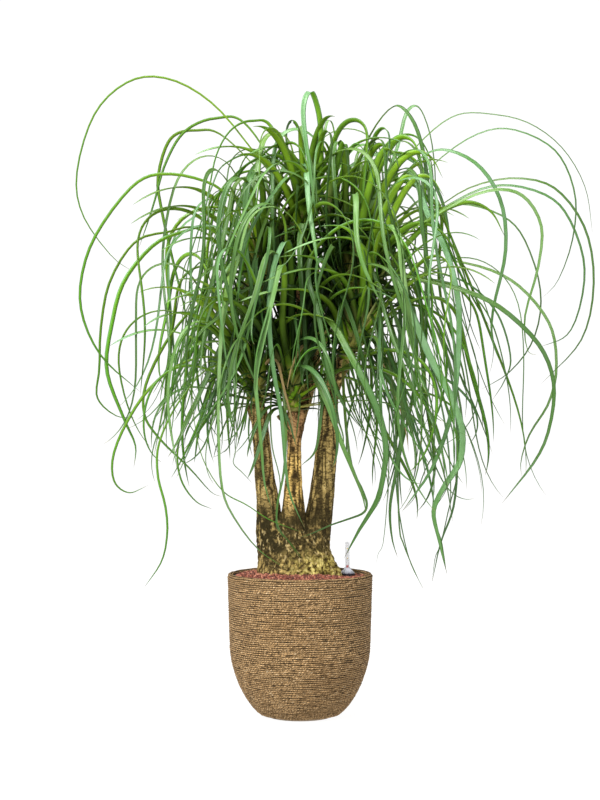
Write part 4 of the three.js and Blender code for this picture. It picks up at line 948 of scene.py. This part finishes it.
class PONYTAIL_OT_fill_granules(bpy.types.Operator):
    """Spreads the granules: lumpy balls on a jittered hexagonal lattice, over the layer of the solid
    model, round the trunk's foot and the gauge's collar"""

    bl_idname = "ponytail.fill_granules"
    bl_label = "Fill Granules"

    def execute(self, context):
        sizes = context.scene.plant_sizes
        rng = np.random.default_rng(12)
        rim = float(liner_inside(GRANULE_FLOOR)) - 1.2
        pitch = sizes.pebble_spacing
        i, j = np.meshgrid(np.arange(-30, 31), np.arange(-34, 35), indexing="ij")
        x = (i + 0.5 * (j % 2)).ravel() * pitch
        y = j.ravel() * pitch * 0.866
        x = x + rng.uniform(-0.28, 0.28, len(x)) * pitch
        y = y + rng.uniform(-0.28, 0.28, len(y)) * pitch
        r = np.hypot(x, y)
        off_trunk = ((x - 2) / TRUNK_HOLE[0]) ** 2 + ((y + 3) / TRUNK_HOLE[1]) ** 2 > 1.0
        off_gauge = np.hypot(x - GAUGE_X, y - GAUGE_Y) > GAUGE_HOLE
        keep = (r < rim - 3.5) & off_trunk & off_gauge
        x, y = x[keep], y[keep]
        z = granule_level(x, y, rim) + rng.uniform(-0.8, 2.6, len(x))
        rings, sides = 4, 8
        tilt = np.linspace(0, np.pi, rings + 2)[1:-1]
        turn = circle(sides)
        ball = np.stack([np.sin(tilt)[:, None] * np.cos(turn), np.sin(tilt)[:, None] * np.sin(turn),
                         np.cos(tilt)[:, None] + 0 * turn], axis=-1).reshape(-1, 3)
        ball = np.vstack([ball, [0, 0, 1], [0, 0, -1]])
        count, corners = len(x), len(ball)
        lumps = 1 + rng.uniform(-0.16, 0.16, (count, corners, 1))
        stretch = rng.uniform(2.1, 3.0, (count, 1, 1)) * rng.uniform(0.85, 1.15, (count, 1, 3))
        spin = rng.uniform(0, 2 * np.pi, count)
        shaped = ball[None] * lumps * stretch
        c, s = np.cos(spin)[:, None], np.sin(spin)[:, None]
        points = np.stack([shaped[..., 0] * c - shaped[..., 1] * s, shaped[..., 0] * s + shaped[..., 1] * c,
                           shaped[..., 2]], axis=-1)
        points += np.column_stack([x, y, z])[:, None, :]
        offsets = (np.arange(count) * corners)[:, None, None]
        faces = [(group[None] + offsets).reshape(-1, group.shape[1])
                 for group in skin_faces(rings, sides, turned_over=True)]
        piece = write_mesh("granule_bed", points.reshape(-1, 3), faces,
                           {"tint": np.repeat(rng.uniform(0, 1, count), corners)})
        colours = context.scene.plant_colours
        dress(piece, granule_finish(colours), replaced=("granules",))
        reach, steps = np.linspace(0, rim, 34)[1:], 96
        x, y = (np.append(np.outer(reach, way(circle(steps))), 0) for way in (np.cos, np.sin))
        top = np.column_stack([x, y, granule_level(x, y, rim) - 1.5])
        faces = [ring_faces(len(reach), steps), fan_faces(0, steps, len(top) - 1, False)]
        layer = write_mesh("granule_layer", top, faces)
        # The layer under the granules takes 0.16 of their colour: painted shade in the gaps between them.
        dress(layer, granule_finish(colours, "Clay granule layer", 0.16))
        return {"FINISHED"}


def tube(rows, sides, per_span=8):
    """A round tube: circles of the row's radius, each square to the smooth route through the rows."""
    route = curve_through(rows, per_span)
    centres, radius = route[:, :3], route[:, 3]
    along = unit(np.gradient(centres, axis=0))
    across = unit(np.array([1.0, 0, 0]) - along * along[:, :1])
    up = np.cross(along, across)
    a = circle(sides)
    ring = np.cos(a)[None, :, None] * across[:, None, :] + np.sin(a)[None, :, None] * up[:, None, :]
    return centres[:, None, :] + radius[:, None, None] * ring


def closed_skin(rings, start):
    """Points and faces of a tube closed at both ends by its middle points."""
    count, sides = rings.shape[:2]
    points = np.vstack([rings.reshape(-1, 3), rings[0].mean(axis=0), rings[-1].mean(axis=0)])
    return points, skin_faces(count, sides, start)


class PONYTAIL_OT_grow_trunk(bpy.types.Operator):
    """Grows the trunk: a lobed foot and smooth tubes along the stems and branches, fused into one skin
    that is pushed in and out along its normals by stretched noise for furrows, plates and cross cracks"""

    bl_idname = "ponytail.grow_trunk"
    bl_label = "Grow Trunk"

    def execute(self, context):
        sizes = context.scene.plant_sizes
        foot = curve_through(FOOT_ROWS, 8)
        a = circle(96)
        z, cx, cy, rx, ry = (foot[:, i:i + 1] for i in range(5))
        lobe = 1 + 0.035 * np.cos(5 * a + 0.7)
        rings = np.stack([cx + rx * lobe * np.cos(a), cy + ry * lobe * np.sin(a), z + 0 * a], axis=-1)
        capped = [[*rows, (*(np.array(rows[-1][:3]) + [0, 0, 5]), rows[-1][3] * 0.7)]
                  for rows in (*STEMS.values(), *BRANCHES.values())]
        points, skins, start = [], [], 0
        for tubing in (rings, *(tube(rows, 40) for rows in (*capped, *STUBS))):
            made, skin = closed_skin(tubing, start)
            points.append(made)
            skins.append(skin)
            start += len(made)
        piece = write_mesh("trunk_bark", np.vstack(points), stacked(skins))
        fuse = piece.modifiers.new("Fuse", "REMESH")
        fuse.mode = "VOXEL"
        fuse.voxel_size = sizes.bark_detail * 0.001
        fused = bpy.data.meshes.new_from_object(piece.evaluated_get(context.evaluated_depsgraph_get()))
        piece.modifiers.clear()
        piece.data = fused
        count = len(fused.vertices)
        spots, normals = np.empty(count * 3), np.empty(count * 3)
        fused.vertices.foreach_get("co", spots)
        fused.vertices.foreach_get("normal", normals)
        spots, normals = spots.reshape(-1, 3) * 1000, normals.reshape(-1, 3)
        sway = [lattice_noise(spots, (30, 30, 26), 7 + axis) - 0.5 for axis in range(3)]
        bent = spots + 5 * np.column_stack(sway)
        low = smoothstep((470 - spots[:, 2]) / 120)
        foot = smoothstep((425 - spots[:, 2]) / 50)
        upright = np.minimum(1, 2.2 * np.abs(2 * lattice_noise(bent, (7.5, 7.5, 80), 1) - 1))
        chips = np.minimum(1, 1.8 * np.abs(2 * lattice_noise(bent, (8, 8, 12), 8) - 1))
        furrow = 0.7 * (upright * (1 - 0.7 * foot) + chips * 0.7 * foot)
        furrow += 0.3 * np.abs(2 * lattice_noise(bent, (4.5, 4.5, 20), 2) - 1)
        plates = lattice_noise(bent, (7, 7, 11), 3)
        lumps = lattice_noise(spots, (34, 34, 60), 4) - 0.5
        crack = np.abs(2 * lattice_noise(bent, (12, 12, 5), 6) - 1)
        depth = sizes.furrow_depth * (0.35 + 0.5 * low)
        push = depth * (furrow - 0.6) + (0.8 + 1.6 * low) * (plates - 0.5) + (1.5 + 5 * low) * lumps
        cross = smoothstep((0.2 - crack) / 0.2)
        push = push - (0.6 + 0.5 * low) * cross
        ends = smoothstep((1034 - spots[:, 2]) / 8)
        spots = spots + normals * (push * ends)[:, None]
        fused.vertices.foreach_set("co", (spots * 0.001).astype(np.float32).ravel())
        fused.shade_smooth()
        relief = np.clip(0.78 * furrow + 0.22 * plates - 0.16 * cross, 0, 1)
        layer = fused.attributes.new("relief", "FLOAT", "POINT")
        layer.data.foreach_set("value", relief.astype(np.float32))
        fused.update()
        dress(piece, bark_finish(context.scene.plant_colours), replaced=("trunk",))
        return {"FINISHED"}


# Crowns
def crown_on(rows, seed):
    """A crown's shoot carries on from the last two rows of its branch, a small gap beyond the end."""
    end, before = (np.array(row[:3], float) for row in (rows[-1], rows[-2]))
    along = unit(end - before)
    return {"foot": end + along * (SEAT_GAP + 0.1), "along": along, "seed": seed}


def shoot_point(crown, share):
    """The point at a share of the shoot's length."""
    return crown["foot"] + crown["along"] * CORE_LENGTH * share


def tweak(attempt):
    """0, 1, -1, 2, -2 and so on, one for each try."""
    return (1 if attempt % 2 else -1) * math.ceil(attempt / 2)


def traced_leaf(row, crown, attempt):
    """A leaf through given points: each is carried along its line of sight to its own depth, and a
    Catmull-Rom curve joins them to the shoot."""
    _, width, twist, marks = row
    across, up, depth = np.array(marks, float).T
    y = depth + tweak(attempt) * 7
    nearer = (VIEW_DISTANCE + y) / VIEW_DISTANCE
    through = np.column_stack([across * nearer, y, EYE_HEIGHT + (up - EYE_HEIGHT) * nearer])
    x0, y0, z0 = through[0] - crown["foot"]
    rise = math.atan2(z0, math.hypot(x0, y0))
    root = shoot_point(crown, 0.15 + 0.7 * max(0, min(1, rise / (math.pi / 2))))
    spine = curve_through(np.vstack([root, through]), 8)
    middle = spine[int(len(spine) * 0.45)]
    facing = unit(np.array([middle[0] - root[0], middle[1] - root[1], 0]))
    return {"spine": spine, "facing": facing, "width": width, "twist": math.radians(twist)}


def within_crown(points, reach):
    """True for points in the dome of the foliage: (x^2 + y^2) / reach^2 + z^2 < 1, each in half widths
    from the middle, with z counted only above it."""
    x, y, z = ((points - REACH_CENTRE) / REACH_HALF).T
    return (x * x + y * y) / (reach * reach) + np.maximum(0, z) ** 2 < 1


def free_leaf(crown, index, chance, attempt):
    """A leaf leaves its shoot at a launch angle that steepens up the shoot, holds it along a stiff stretch,
    bends over by an eased step and hangs. It wanders sideways by a sine of its length, and its thin end
    may curl."""
    share = (index + 0.5) / LEAVES_PER_CROWN
    turn = tweak(attempt) * 4
    azimuth = math.radians(index * GOLDEN_ANGLE + crown["seed"] * 31 + 16 * (chance[0] - 0.5) + turn)
    launch = math.radians(-6 + 88 * share**0.8 + 14 * (chance[1] - 0.5) + 1.5 * (attempt % 3))
    stiff = 60 + 190 * share + 90 * chance[2]
    bend = 210 + 230 * chance[3]
    hang = math.radians(-60 - 32 * chance[4])
    sway = math.radians(80 * (chance[5] - 0.5))
    curl = math.radians(150 * (chance[6] - 0.45))
    wander = 0.1 + 0.3 * chance[10]
    phase = 2 * math.pi * chance[11]
    longest = 620 + 560 * chance[7]
    reach = 0.6 + 0.4 * chance[7]
    width = (7 + 10 * chance[8] * (0.4 + 0.6 * share)) * (1.15 - 0.4 * chance[7])
    twist = math.radians(170 * (chance[9] - 0.5))
    outward = np.array([math.cos(azimuth), math.sin(azimuth), 0])
    sideways = np.array([-outward[1], outward[0], 0])
    root = shoot_point(crown, 0.08 + 0.88 * share) + outward * 4
    step = 10

    def walk(length, curled, tight):
        """Steps added up from the root: each goes out by cos(pitch) and up by sin(pitch). The thin end
        adds curl * end^2 to the pitch, and a small `tight` makes the leaf bend over sooner."""
        s = np.arange(step / 2, length, step)
        over = smoothstep((s / tight - stiff) / bend)
        end = np.maximum(0, (s / length - 0.7) / 0.3) if curled else 0 * s
        pitch = launch + (hang - launch) * over + curl * end * end
        heading = azimuth + sway * (s / longest) ** 2
        level = np.cos(pitch)
        moves = step * np.column_stack([level * np.cos(heading), level * np.sin(heading), np.sin(pitch)])
        drift = step * wander * np.sin(s / 80 + phase) * np.minimum(1, s / 350)
        moves += drift[:, None] * sideways
        return np.vstack([root, root + np.cumsum(moves, axis=0)])

    tight = next((f for f in (1, 0.85, 0.7, 0.56, 0.44, 0.34)
                  if within_crown(walk(longest, False, f), reach).all()), 0.26)
    full = walk(longest, False, tight)
    x, y = full[:, 0], full[:, 1]
    fringe = 450 - 35 * np.tanh((x - 20) / 120) + 230 * chance[2]
    fringe += 160 * (1 - 0.5 * chance[2]) * np.exp(-((x / 150) ** 2))
    fringe += np.where(y < -40, 0.8 * max(0, crown["foot"][2] - 700), 0) * np.exp(-((x / 210) ** 2))
    low = np.nonzero((full[:, 2] < fringe) & (np.arange(len(full)) > 20))[0]
    length = low[0] * step if len(low) else longest
    return {"spine": walk(length, True, tight), "facing": outward, "width": width, "twist": twist}


def heart_leaf(crown, share, chance):
    """A young leaf at the heart of a crown: steep, leaning outward by the cube of its length and bending
    over by the fourth power. The whole heart leans away from the middle of the plant."""
    azimuth = 2 * math.pi * (share * 5 + 0.13 * chance[0])
    outward = np.array([math.cos(azimuth), math.sin(azimuth), 0])
    steep = math.radians(58 + 26 * share)
    length = 230 + 180 * chance[1]
    s = np.linspace(0, 1, 28)
    lean = (math.cos(steep) * s + (0.22 + 0.3 * chance[2]) * s**3)[:, None]
    rise = (math.sin(steep) * s - (0.3 + 0.26 * chance[2]) * s**4)[:, None]
    root = shoot_point(crown, 0.06 + 0.84 * share)
    length *= min(1, (1330 - root[2]) / 300)
    axis = unit(crown["along"] + [crown["foot"][0] / 300, -0.1, 1])
    spine = root + length * (lean * outward + rise * axis)
    facing = unit(outward + [0.5, -0.5, 0])
    return {"spine": spine, "facing": facing, "width": 15 + 8 * chance[3],
            "twist": 0.5 * (chance[0] - 0.5)}


def matching_leaf(leaf_at, corners):
    """The try whose tip is a corner of the solid crown, so that the fine leaf lies where the solid one
    does."""
    for attempt in range(TRIES):
        leaf = leaf_at(attempt)
        if corners.find(Vector(leaf["spine"][-1] * 0.001))[2] < MATCH_DISTANCE:
            return leaf
    return None


def within_box(spine):
    """True where a leaf stays within 12 mm of the solid model's box."""
    low, high = (np.array(corner) * 1000 for corner in CAD_BOX)
    return (spine > low - 12).all() and (spine < high + 12).all()


def clear_of_wood(spine):
    """False where a leaf passes through a stem, the trunk's foot or the planter."""
    outer = spine[6:]
    r = np.hypot(outer[:, 0], outer[:, 1])
    if ((outer[:, 2] < 330) & (r < RIM_RADIUS + 8)).any():
        return False
    for rows in (*STEMS.values(), *BRANCHES.values()):
        route = curve_through(rows, 3)
        apart = np.linalg.norm(outer[:, None, :] - route[None, :, :3], axis=2)
        if (apart < route[None, :, 3] + 5).any():
            return False
    return True


class Openness:
    """How much of the sky reaches a place among the leaves. A lattice of 30 mm cells holds the leaf area
    met on the way through each cell. Openness is the mean of exp(-area met) on the ways out to the sides
    and upward, taken straight from cell to cell."""

    cell = 30.0

    def __init__(self, leaves):
        low, high = (np.array(corner) * 1000 for corner in CAD_BOX)
        self.low = low - 2 * self.cell
        shape = np.ceil((high - low) / self.cell).astype(int) + 5
        cover = np.zeros(shape)
        for leaf in leaves:
            spine = leaf["spine"]
            steps = np.linalg.norm(np.diff(spine, axis=0), axis=1)
            spots = np.clip(((spine[1:] - self.low) / self.cell).astype(int), 0, shape - 1)
            np.add.at(cover, tuple(spots.T), steps * leaf["width"] * 0.55 / self.cell**2)
        ways = [(x, y, z) for z in (0, 1) for x in (-1, 0, 1) for y in (-1, 0, 1) if x or y or z]
        self.open = np.zeros(shape)
        for way in ways:
            met, shifted = np.zeros(shape), cover * math.sqrt(sum(abs(step) for step in way))
            for _ in range(16):
                for axis, step in enumerate(way):
                    shifted = np.roll(shifted, -step, axis=axis)
                met += shifted
            self.open += np.exp(-met) / len(ways)

    def at(self, points):
        """The openness of the cells round each point, each by its share."""
        total = np.zeros(len(points))
        for corner, share in lattice_corners((points - self.low) / self.cell - 0.5, False):
            x, y, z = np.clip(corner, 0, np.array(self.open.shape) - 1).T
            total += share * self.open[x, y, z]
        return total


def blade(leaf, sections):
    """A channelled strap: a closed section of eight points, flat width w(t) and sagging middle, carried
    along the spine, square to it, and twisted by a share 1 - exp(-(t/0.4)^2) of the leaf's twist. Width is
    (1 - 0.45 t^1.5 - 0.55 t^10), broader at the root where it wraps the shoot."""
    spine, facing, width = leaf["spine"], leaf["facing"], leaf["width"]
    steps = np.diff(spine, axis=0)
    lengths = np.linalg.norm(steps, axis=1)
    cosine = np.sum(steps[1:] * steps[:-1], axis=1) / (lengths[1:] * lengths[:-1])
    bends = np.concatenate([[0], np.arccos(np.clip(cosine, -1, 1))])
    reach = np.concatenate([[0], np.cumsum(bends + lengths / 160)])
    run = run_along(spine)
    picks = np.interp(np.linspace(0, 1, sections + 1) * reach[-1], reach, np.arange(len(spine)))
    spots = np.column_stack([np.interp(picks, np.arange(len(spine)), spine[:, i]) for i in range(3)])
    s = np.interp(picks, np.arange(len(spine)), run)
    t = s / run[-1]
    along = unit(np.gradient(spots, axis=0))
    level = np.array([-facing[1], facing[0], 0])
    flat = unit(level - along * (along @ level)[:, None])
    turn = (leaf["twist"] * (1 - np.exp(-((t / TWIST_LENGTH) ** 2))))[:, None]
    flat = flat * np.cos(turn) + np.cross(along, flat) * np.sin(turn)
    under = np.cross(flat, along)
    taper = np.maximum(1 - 0.45 * t**1.5 - 0.55 * t**10, 0.02)
    half = (width / 2 * taper * (1 + 1.1 * np.exp(-s / 22)))[:, None, None]
    u = np.array([-1, -0.5, 0, 0.5, 1, 0.5, 0, -0.5])
    below = np.array([0, 0, 0, 0, 0, 1, 1, 1])
    thick = 0.35 + 0.55 * taper[:, None]
    channel = (0.26 + 0.25 * np.exp(-s / 90) + 0.2 * t**2)[:, None] * (1 - np.abs(u))
    sag = channel * half[:, :, 0] + below * thick
    strip = spots[:, None, :] + half * u[None, :, None] * flat[:, None, :]
    return strip + sag[:, :, None] * under[:, None, :], t, u, below


class PONYTAIL_OT_grow_crowns(bpy.types.Operator):
    """Grows the crowns: the leaves of each solid crown again with fine channelled blades, and between them
    filler leaves by the same rule, leaves with a course of their own and the young leaves of the heart"""

    bl_idname = "ponytail.grow_crowns"
    bl_label = "Grow Crowns"

    def leaves_of(self, name, crown, fillers, hearts):
        """All leaves of one crown, the solid ones first."""
        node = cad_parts["crown_" + name]
        places = np.empty(len(node.data.vertices) * 3)
        node.data.vertices.foreach_get("co", places)
        corners = kdtree.KDTree(len(node.data.vertices))
        for i, place in enumerate(places.reshape(-1, 3)):
            corners.insert(Vector(place), i)
        corners.balance()
        leaves = []
        for row in TRACED_LEAVES:
            if row[0] == name:
                leaves.append(matching_leaf(
                    lambda attempt, row=row: traced_leaf(row, crown, attempt), corners))
        stream = draws(crown["seed"])
        for index in range(LEAVES_PER_CROWN):
            chance = [next(stream) for _ in range(LEAF_DRAWS)]
            leaves.append(matching_leaf(
                lambda attempt, i=index, c=chance: free_leaf(crown, i, c, attempt), corners))
        found = [leaf for leaf in leaves if leaf]
        stream = draws(crown["seed"] + 1000)
        for index in range(fillers):
            chance = [next(stream) for _ in range(LEAF_DRAWS)]
            chance[6] *= FILLER_CURL
            place = (index + 0.5) / fillers * LEAVES_PER_CROWN - 0.5
            leaf = free_leaf(crown, place, chance, 0)
            if within_box(leaf["spine"]) and clear_of_wood(leaf["spine"]):
                found.append(leaf | {"fresh": GROWN})
        for row in ADDED_LEAVES:
            if row[0] == name:
                fresh = YOUNG if row[1] > BROAD_LEAF else GROWN
                found.append(traced_leaf(row, crown, 0) | {"fresh": fresh})
        for index in range(hearts):
            chance = [next(stream) for _ in range(4)]
            leaf = heart_leaf(crown, (index + 0.5) / hearts, chance)
            if within_box(leaf["spine"]):
                found.append(leaf | {"fresh": YOUNG})
        print(name, "leaves:", len(found), "of them solid:", sum(leaf is not None for leaf in leaves))
        return found

    def execute(self, context):
        sizes = context.scene.plant_sizes
        finish = leaf_finish(context.scene.plant_colours)
        crowns = {name: crown_on(rows, seed) for name, (rows, seed) in CROWN_BEARERS.items()}
        grown = {}
        for name, crown in crowns.items():
            fillers = round(sizes.filler_leaves * FILLER_SHARE.get(name, 1))
            grown[name] = self.leaves_of(name, crown, fillers, sizes.heart_leaves)
        openness = Openness([leaf for leaves in grown.values() for leaf in leaves])
        for name, crown in crowns.items():
            rng = np.random.default_rng(crown["seed"])
            sides = 8
            shoot = tube([(*shoot_point(crown, share), radius) for share, radius in (
                (0, CORE_FOOT_RADIUS - 1), (0.5, 10), (0.9, CORE_TOP_RADIUS), (1.0, 4))], 24, 3)
            points, skin = closed_skin(shoot, 0)
            chunks, skins = [points], [skin]
            values = {key: [np.zeros(len(points))] for key in ("along", "across", "under", "dry", "outer")}
            values["tint"] = [np.full(len(points), 0.5)]
            low = np.linalg.norm(points - crown["foot"], axis=1)
            values["dry"] = [1 - smoothstep((low - 6) / 12)]
            start = len(points)
            for leaf in grown[name]:
                grid, t, u, below = blade(leaf, sizes.blade_sections)
                count = len(grid) - 1
                body = grid[:count].reshape(-1, 3)
                chunks.append(np.vstack([body, grid[-1].mean(axis=0), grid[0].mean(axis=0)]))
                tip = start + count * sides
                skins.append([ring_faces(count, sides, start)[:, ::-1],
                              fan_faces(tip - sides, sides, tip, False),
                              fan_faces(start, sides, tip + 1, True)])
                fresh = leaf.get("fresh", GROWN)
                values["along"].append(fresh * np.concatenate([np.repeat(t[:count], sides), [1, 0]]))
                values["across"].append(np.concatenate([np.tile(u, count), [0, 0]]))
                values["under"].append(np.concatenate([np.tile(below, count), [0, 0]]))
                tint = rng.uniform(0, min(1, leaf["width"] / 16))
                values["tint"].append(np.full(count * sides + 2, tint))
                slight = leaf["width"] < STRAW_WIDTH and leaf["spine"][:, 2].max() < STRAW_HEIGHT
                straw = "fresh" in leaf and slight and rng.uniform(0, 1) < STRAW_CHANCE
                values["dry"].append(np.full(count * sides + 2, float(straw)))
                # Openness, kept as 'outer', sets the leaves' painted shade, painted sheen and coat; young
                # leaves take less of the painted shade.
                light = smoothstep((openness.at(body) - 0.1) / 0.26) ** (0.45 if fresh < GROWN else 1)
                values["outer"].append(np.concatenate([light, [1, 0]]))
                start += count * sides + 2
            values = {key: np.concatenate(parts) for key, parts in values.items()}
            piece = write_mesh("foliage_" + name, np.vstack(chunks), stacked(skins), values)
            dress(piece, finish, replaced=("crown_" + name,))
        return {"FINISHED"}


class PONYTAIL_OT_fit_gauge(bpy.types.Operator):
    """Fits the water gauge: turned collar, clear sight tube with its marks, and the float's red tip"""

    bl_idname = "ponytail.fit_gauge"
    bl_label = "Fit Water Gauge"

    def execute(self, context):
        at = (GAUGE_X, GAUGE_Y)
        grey = collar_finish()
        # Near-black finish of the collar's foot ring: painted shade, carrying on the collar's darkening
        # towards its foot.
        dark = moulded_finish("Dark collar foot", (0.035, 0.03, 0.045), 0.4)
        low, wide, bore = GUIDE_TOP + SEAT_GAP, COLLAR_RADIUS, COLLAR_BORE
        skirt = rounded([(bore, low + 5.2), (bore, low + 3.9), (wide - 0.5, low + 3.9),
                         (wide - 1.6, low + 5.4), (12.2, low + 9.0), (8.4, low + 12.6), (7.1, low + 14.6),
                         (7.0, COLLAR_TOP), (5.85, COLLAR_TOP), (5.85, SIGHT_FOOT - SEAT_GAP),
                         (4.6, SIGHT_FOOT - SEAT_GAP), (4.6, SIGHT_FOOT - 2), (bore, low + 5.2)], 0.6)
        bell = turned("collar_bell", skirt[:-1], 64, at)
        dress(bell, grey, replaced=("gauge_collar",))
        base = rounded([(bore, low + 0.7), (bore, low), (wide - 1, low), (wide, low + 3.6),
                        (bore, low + 3.6), (bore, low + 0.7)], 0.5)
        foot = turned("collar_foot", base[:-1], 64, at)
        dress(foot, dark, replaced=("gauge_collar",))
        wide, bore = SIGHT_RADIUS, SIGHT_BORE
        dome = rounded([(wide, SIGHT_FOOT + 7), (wide, SIGHT_TOP), (0.01, SIGHT_TOP)], 1.2)[1:-1]
        glass = [(bore, SIGHT_FOOT), (wide, SIGHT_FOOT), *dome, (0.4, SIGHT_TOP), (0.4, SIGHT_TOP - 1.5),
                 (3.2, SIGHT_TOP - 1.5), (bore, SIGHT_TOP - 2.4)]
        sight = turned("sight_tube", glass, 48, at)
        dress(sight, clear_finish(), replaced=("gauge_sight",))
        mark_finish = moulded_finish("Yellow mark", (0.75, 0.5, 0.03), 0.4)
        for label, height in MARK_HEIGHTS.items():
            middle = np.array([GAUGE_X, GAUGE_Y - SIGHT_RADIUS - 0.1, height])
            turn = circle(24)
            ring = middle + np.column_stack([1.3 * np.cos(turn), 0 * turn, 1.0 * np.sin(turn)])
            raised = middle + 0.9 * (ring - middle) - [0, 0.3, 0]
            back = ring + [0, 0.6, 0]
            points = np.vstack([back, ring, raised, middle - [0, 0.3, 0], middle + [0, 0.6, 0]])
            faces = [ring_faces(3, 24), fan_faces(48, 24, 72, True), fan_faces(0, 24, 73, False)]
            dress(write_mesh("mark_" + label, points, faces), mark_finish)
        stem = rounded([(0, TIP_FOOT), (TIP_RADIUS, TIP_FOOT), (TIP_RADIUS, TIP_TOP - 0.1),
                        (0, TIP_TOP - 0.1)], 1.1)
        tip = turned("float_tip", stem, 32, at)
        red = moulded_finish("Red tip", (0.8, 0.02, 0.008), 0.3, coat=0.3)
        dress(tip, red, "float", ("gauge_tip",))
        white = moulded_finish("White gauge plastic", (0.78, 0.77, 0.72), 0.45)
        for node in ("gauge_guide", "gauge_float"):
            paint(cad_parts[node], white)
        return {"FINISHED"}


class PONYTAIL_OT_set_stage(bpy.types.Operator):
    """Sets the pale floor, the soft lights and the camera at the front"""

    bl_idname = "ponytail.set_stage"
    bl_label = "Set Stage"

    def execute(self, context):
        scene = context.scene
        corners = 400000 * np.array([[-1, -1, 0], [1, -1, 0], [1, 1, 0], [-1, 1, 0]])
        floor = write_mesh("studio_floor", corners, [np.array([[0, 1, 2, 3]])])
        floor.data.materials.append(floor_finish())
        world = bpy.data.worlds.new("Studio")
        world.use_nodes = True
        tree = world.node_tree
        background = tree.nodes["Background"]
        background.inputs["Color"].default_value = (1, 1, 1, 1)
        way, split, fall = (tree.nodes.new(kind) for kind in (
            "ShaderNodeTexCoord", "ShaderNodeSeparateXYZ", "ShaderNodeMapRange"))
        for key, value in {"From Min": 0.28, "From Max": 0.5, "To Min": 1.05, "To Max": 0.3}.items():
            fall.inputs[key].default_value = value
        tree.links.new(way.outputs["Generated"], split.inputs[0])
        tree.links.new(split.outputs["Z"], fall.inputs["Value"])
        tree.links.new(fall.outputs[0], background.inputs["Strength"])
        scene.world = world
        for name, place, aim, width, watts in (
                ("key", (-3.0, -4.0, 4.2), (0, 0, 0.7), 2.6, 480),
                ("fill", (3.2, -3.0, 1.8), (0, 0, 0.6), 2.4, 26),
                ("top", (-0.2, -1.0, 5.2), (0, 0, 0.7), 3.0, 270)):
            lamp = bpy.data.lights.new(name, "AREA")
            lamp.size = width
            lamp.energy = watts
            light = bpy.data.objects.new(name, lamp)
            light.location = place
            light.rotation_euler = (Vector(aim) - Vector(place)).to_track_quat("-Z", "Y").to_euler()
            scene.collection.objects.link(light)
        view = bpy.data.cameras.new("Front")
        view.lens = LENS
        camera = bpy.data.objects.new("Front", view)
        camera.location = (0, -VIEW_DISTANCE * 0.001, EYE_HEIGHT * 0.001)
        camera.rotation_euler = (math.pi / 2, 0, 0)
        scene.collection.objects.link(camera)
        scene.camera = camera
        scene.view_settings.view_transform = "Standard"
        return {"FINISHED"}


STEPS = (PONYTAIL_OT_wind_rope, PONYTAIL_OT_line_planter, PONYTAIL_OT_fill_granules, PONYTAIL_OT_grow_trunk,
         PONYTAIL_OT_grow_crowns, PONYTAIL_OT_fit_gauge, PONYTAIL_OT_set_stage)


class PONYTAIL_PT_plant(bpy.types.Panel):
    """Sizes, colours and steps of the potted plant"""

    bl_label = "Potted Ponytail Palm"
    bl_idname = "PONYTAIL_PT_plant"
    bl_space_type = "VIEW_3D"
    bl_region_type = "UI"
    bl_category = "Plant"

    def draw(self, context):
        for group in (context.scene.plant_sizes, context.scene.plant_colours):
            column = self.layout.column()
            for key in group.__annotations__:
                column.prop(group, key)
        for step in STEPS:
            self.layout.operator(step.bl_idname)


CLASSES = (PlantSizes, PlantColours, *STEPS, PONYTAIL_PT_plant)


def register():
    """Adds the classes and the two groups of properties."""
    for kind in CLASSES:
        bpy.utils.register_class(kind)
    bpy.types.Scene.plant_sizes = bpy.props.PointerProperty(type=PlantSizes)
    bpy.types.Scene.plant_colours = bpy.props.PointerProperty(type=PlantColours)


def unregister():
    """Takes them away again, the last first."""
    del bpy.types.Scene.plant_colours
    del bpy.types.Scene.plant_sizes
    for kind in reversed(CLASSES):
        bpy.utils.unregister_class(kind)


def main():
    """Runs the steps in order."""
    register()
    bpy.ops.ponytail.wind_rope()
    bpy.ops.ponytail.line_planter()
    bpy.ops.ponytail.fill_granules()
    bpy.ops.ponytail.grow_trunk()
    bpy.ops.ponytail.grow_crowns()
    bpy.ops.ponytail.fit_gauge()
    bpy.ops.ponytail.set_stage()


if __name__ == "__main__":
    main()
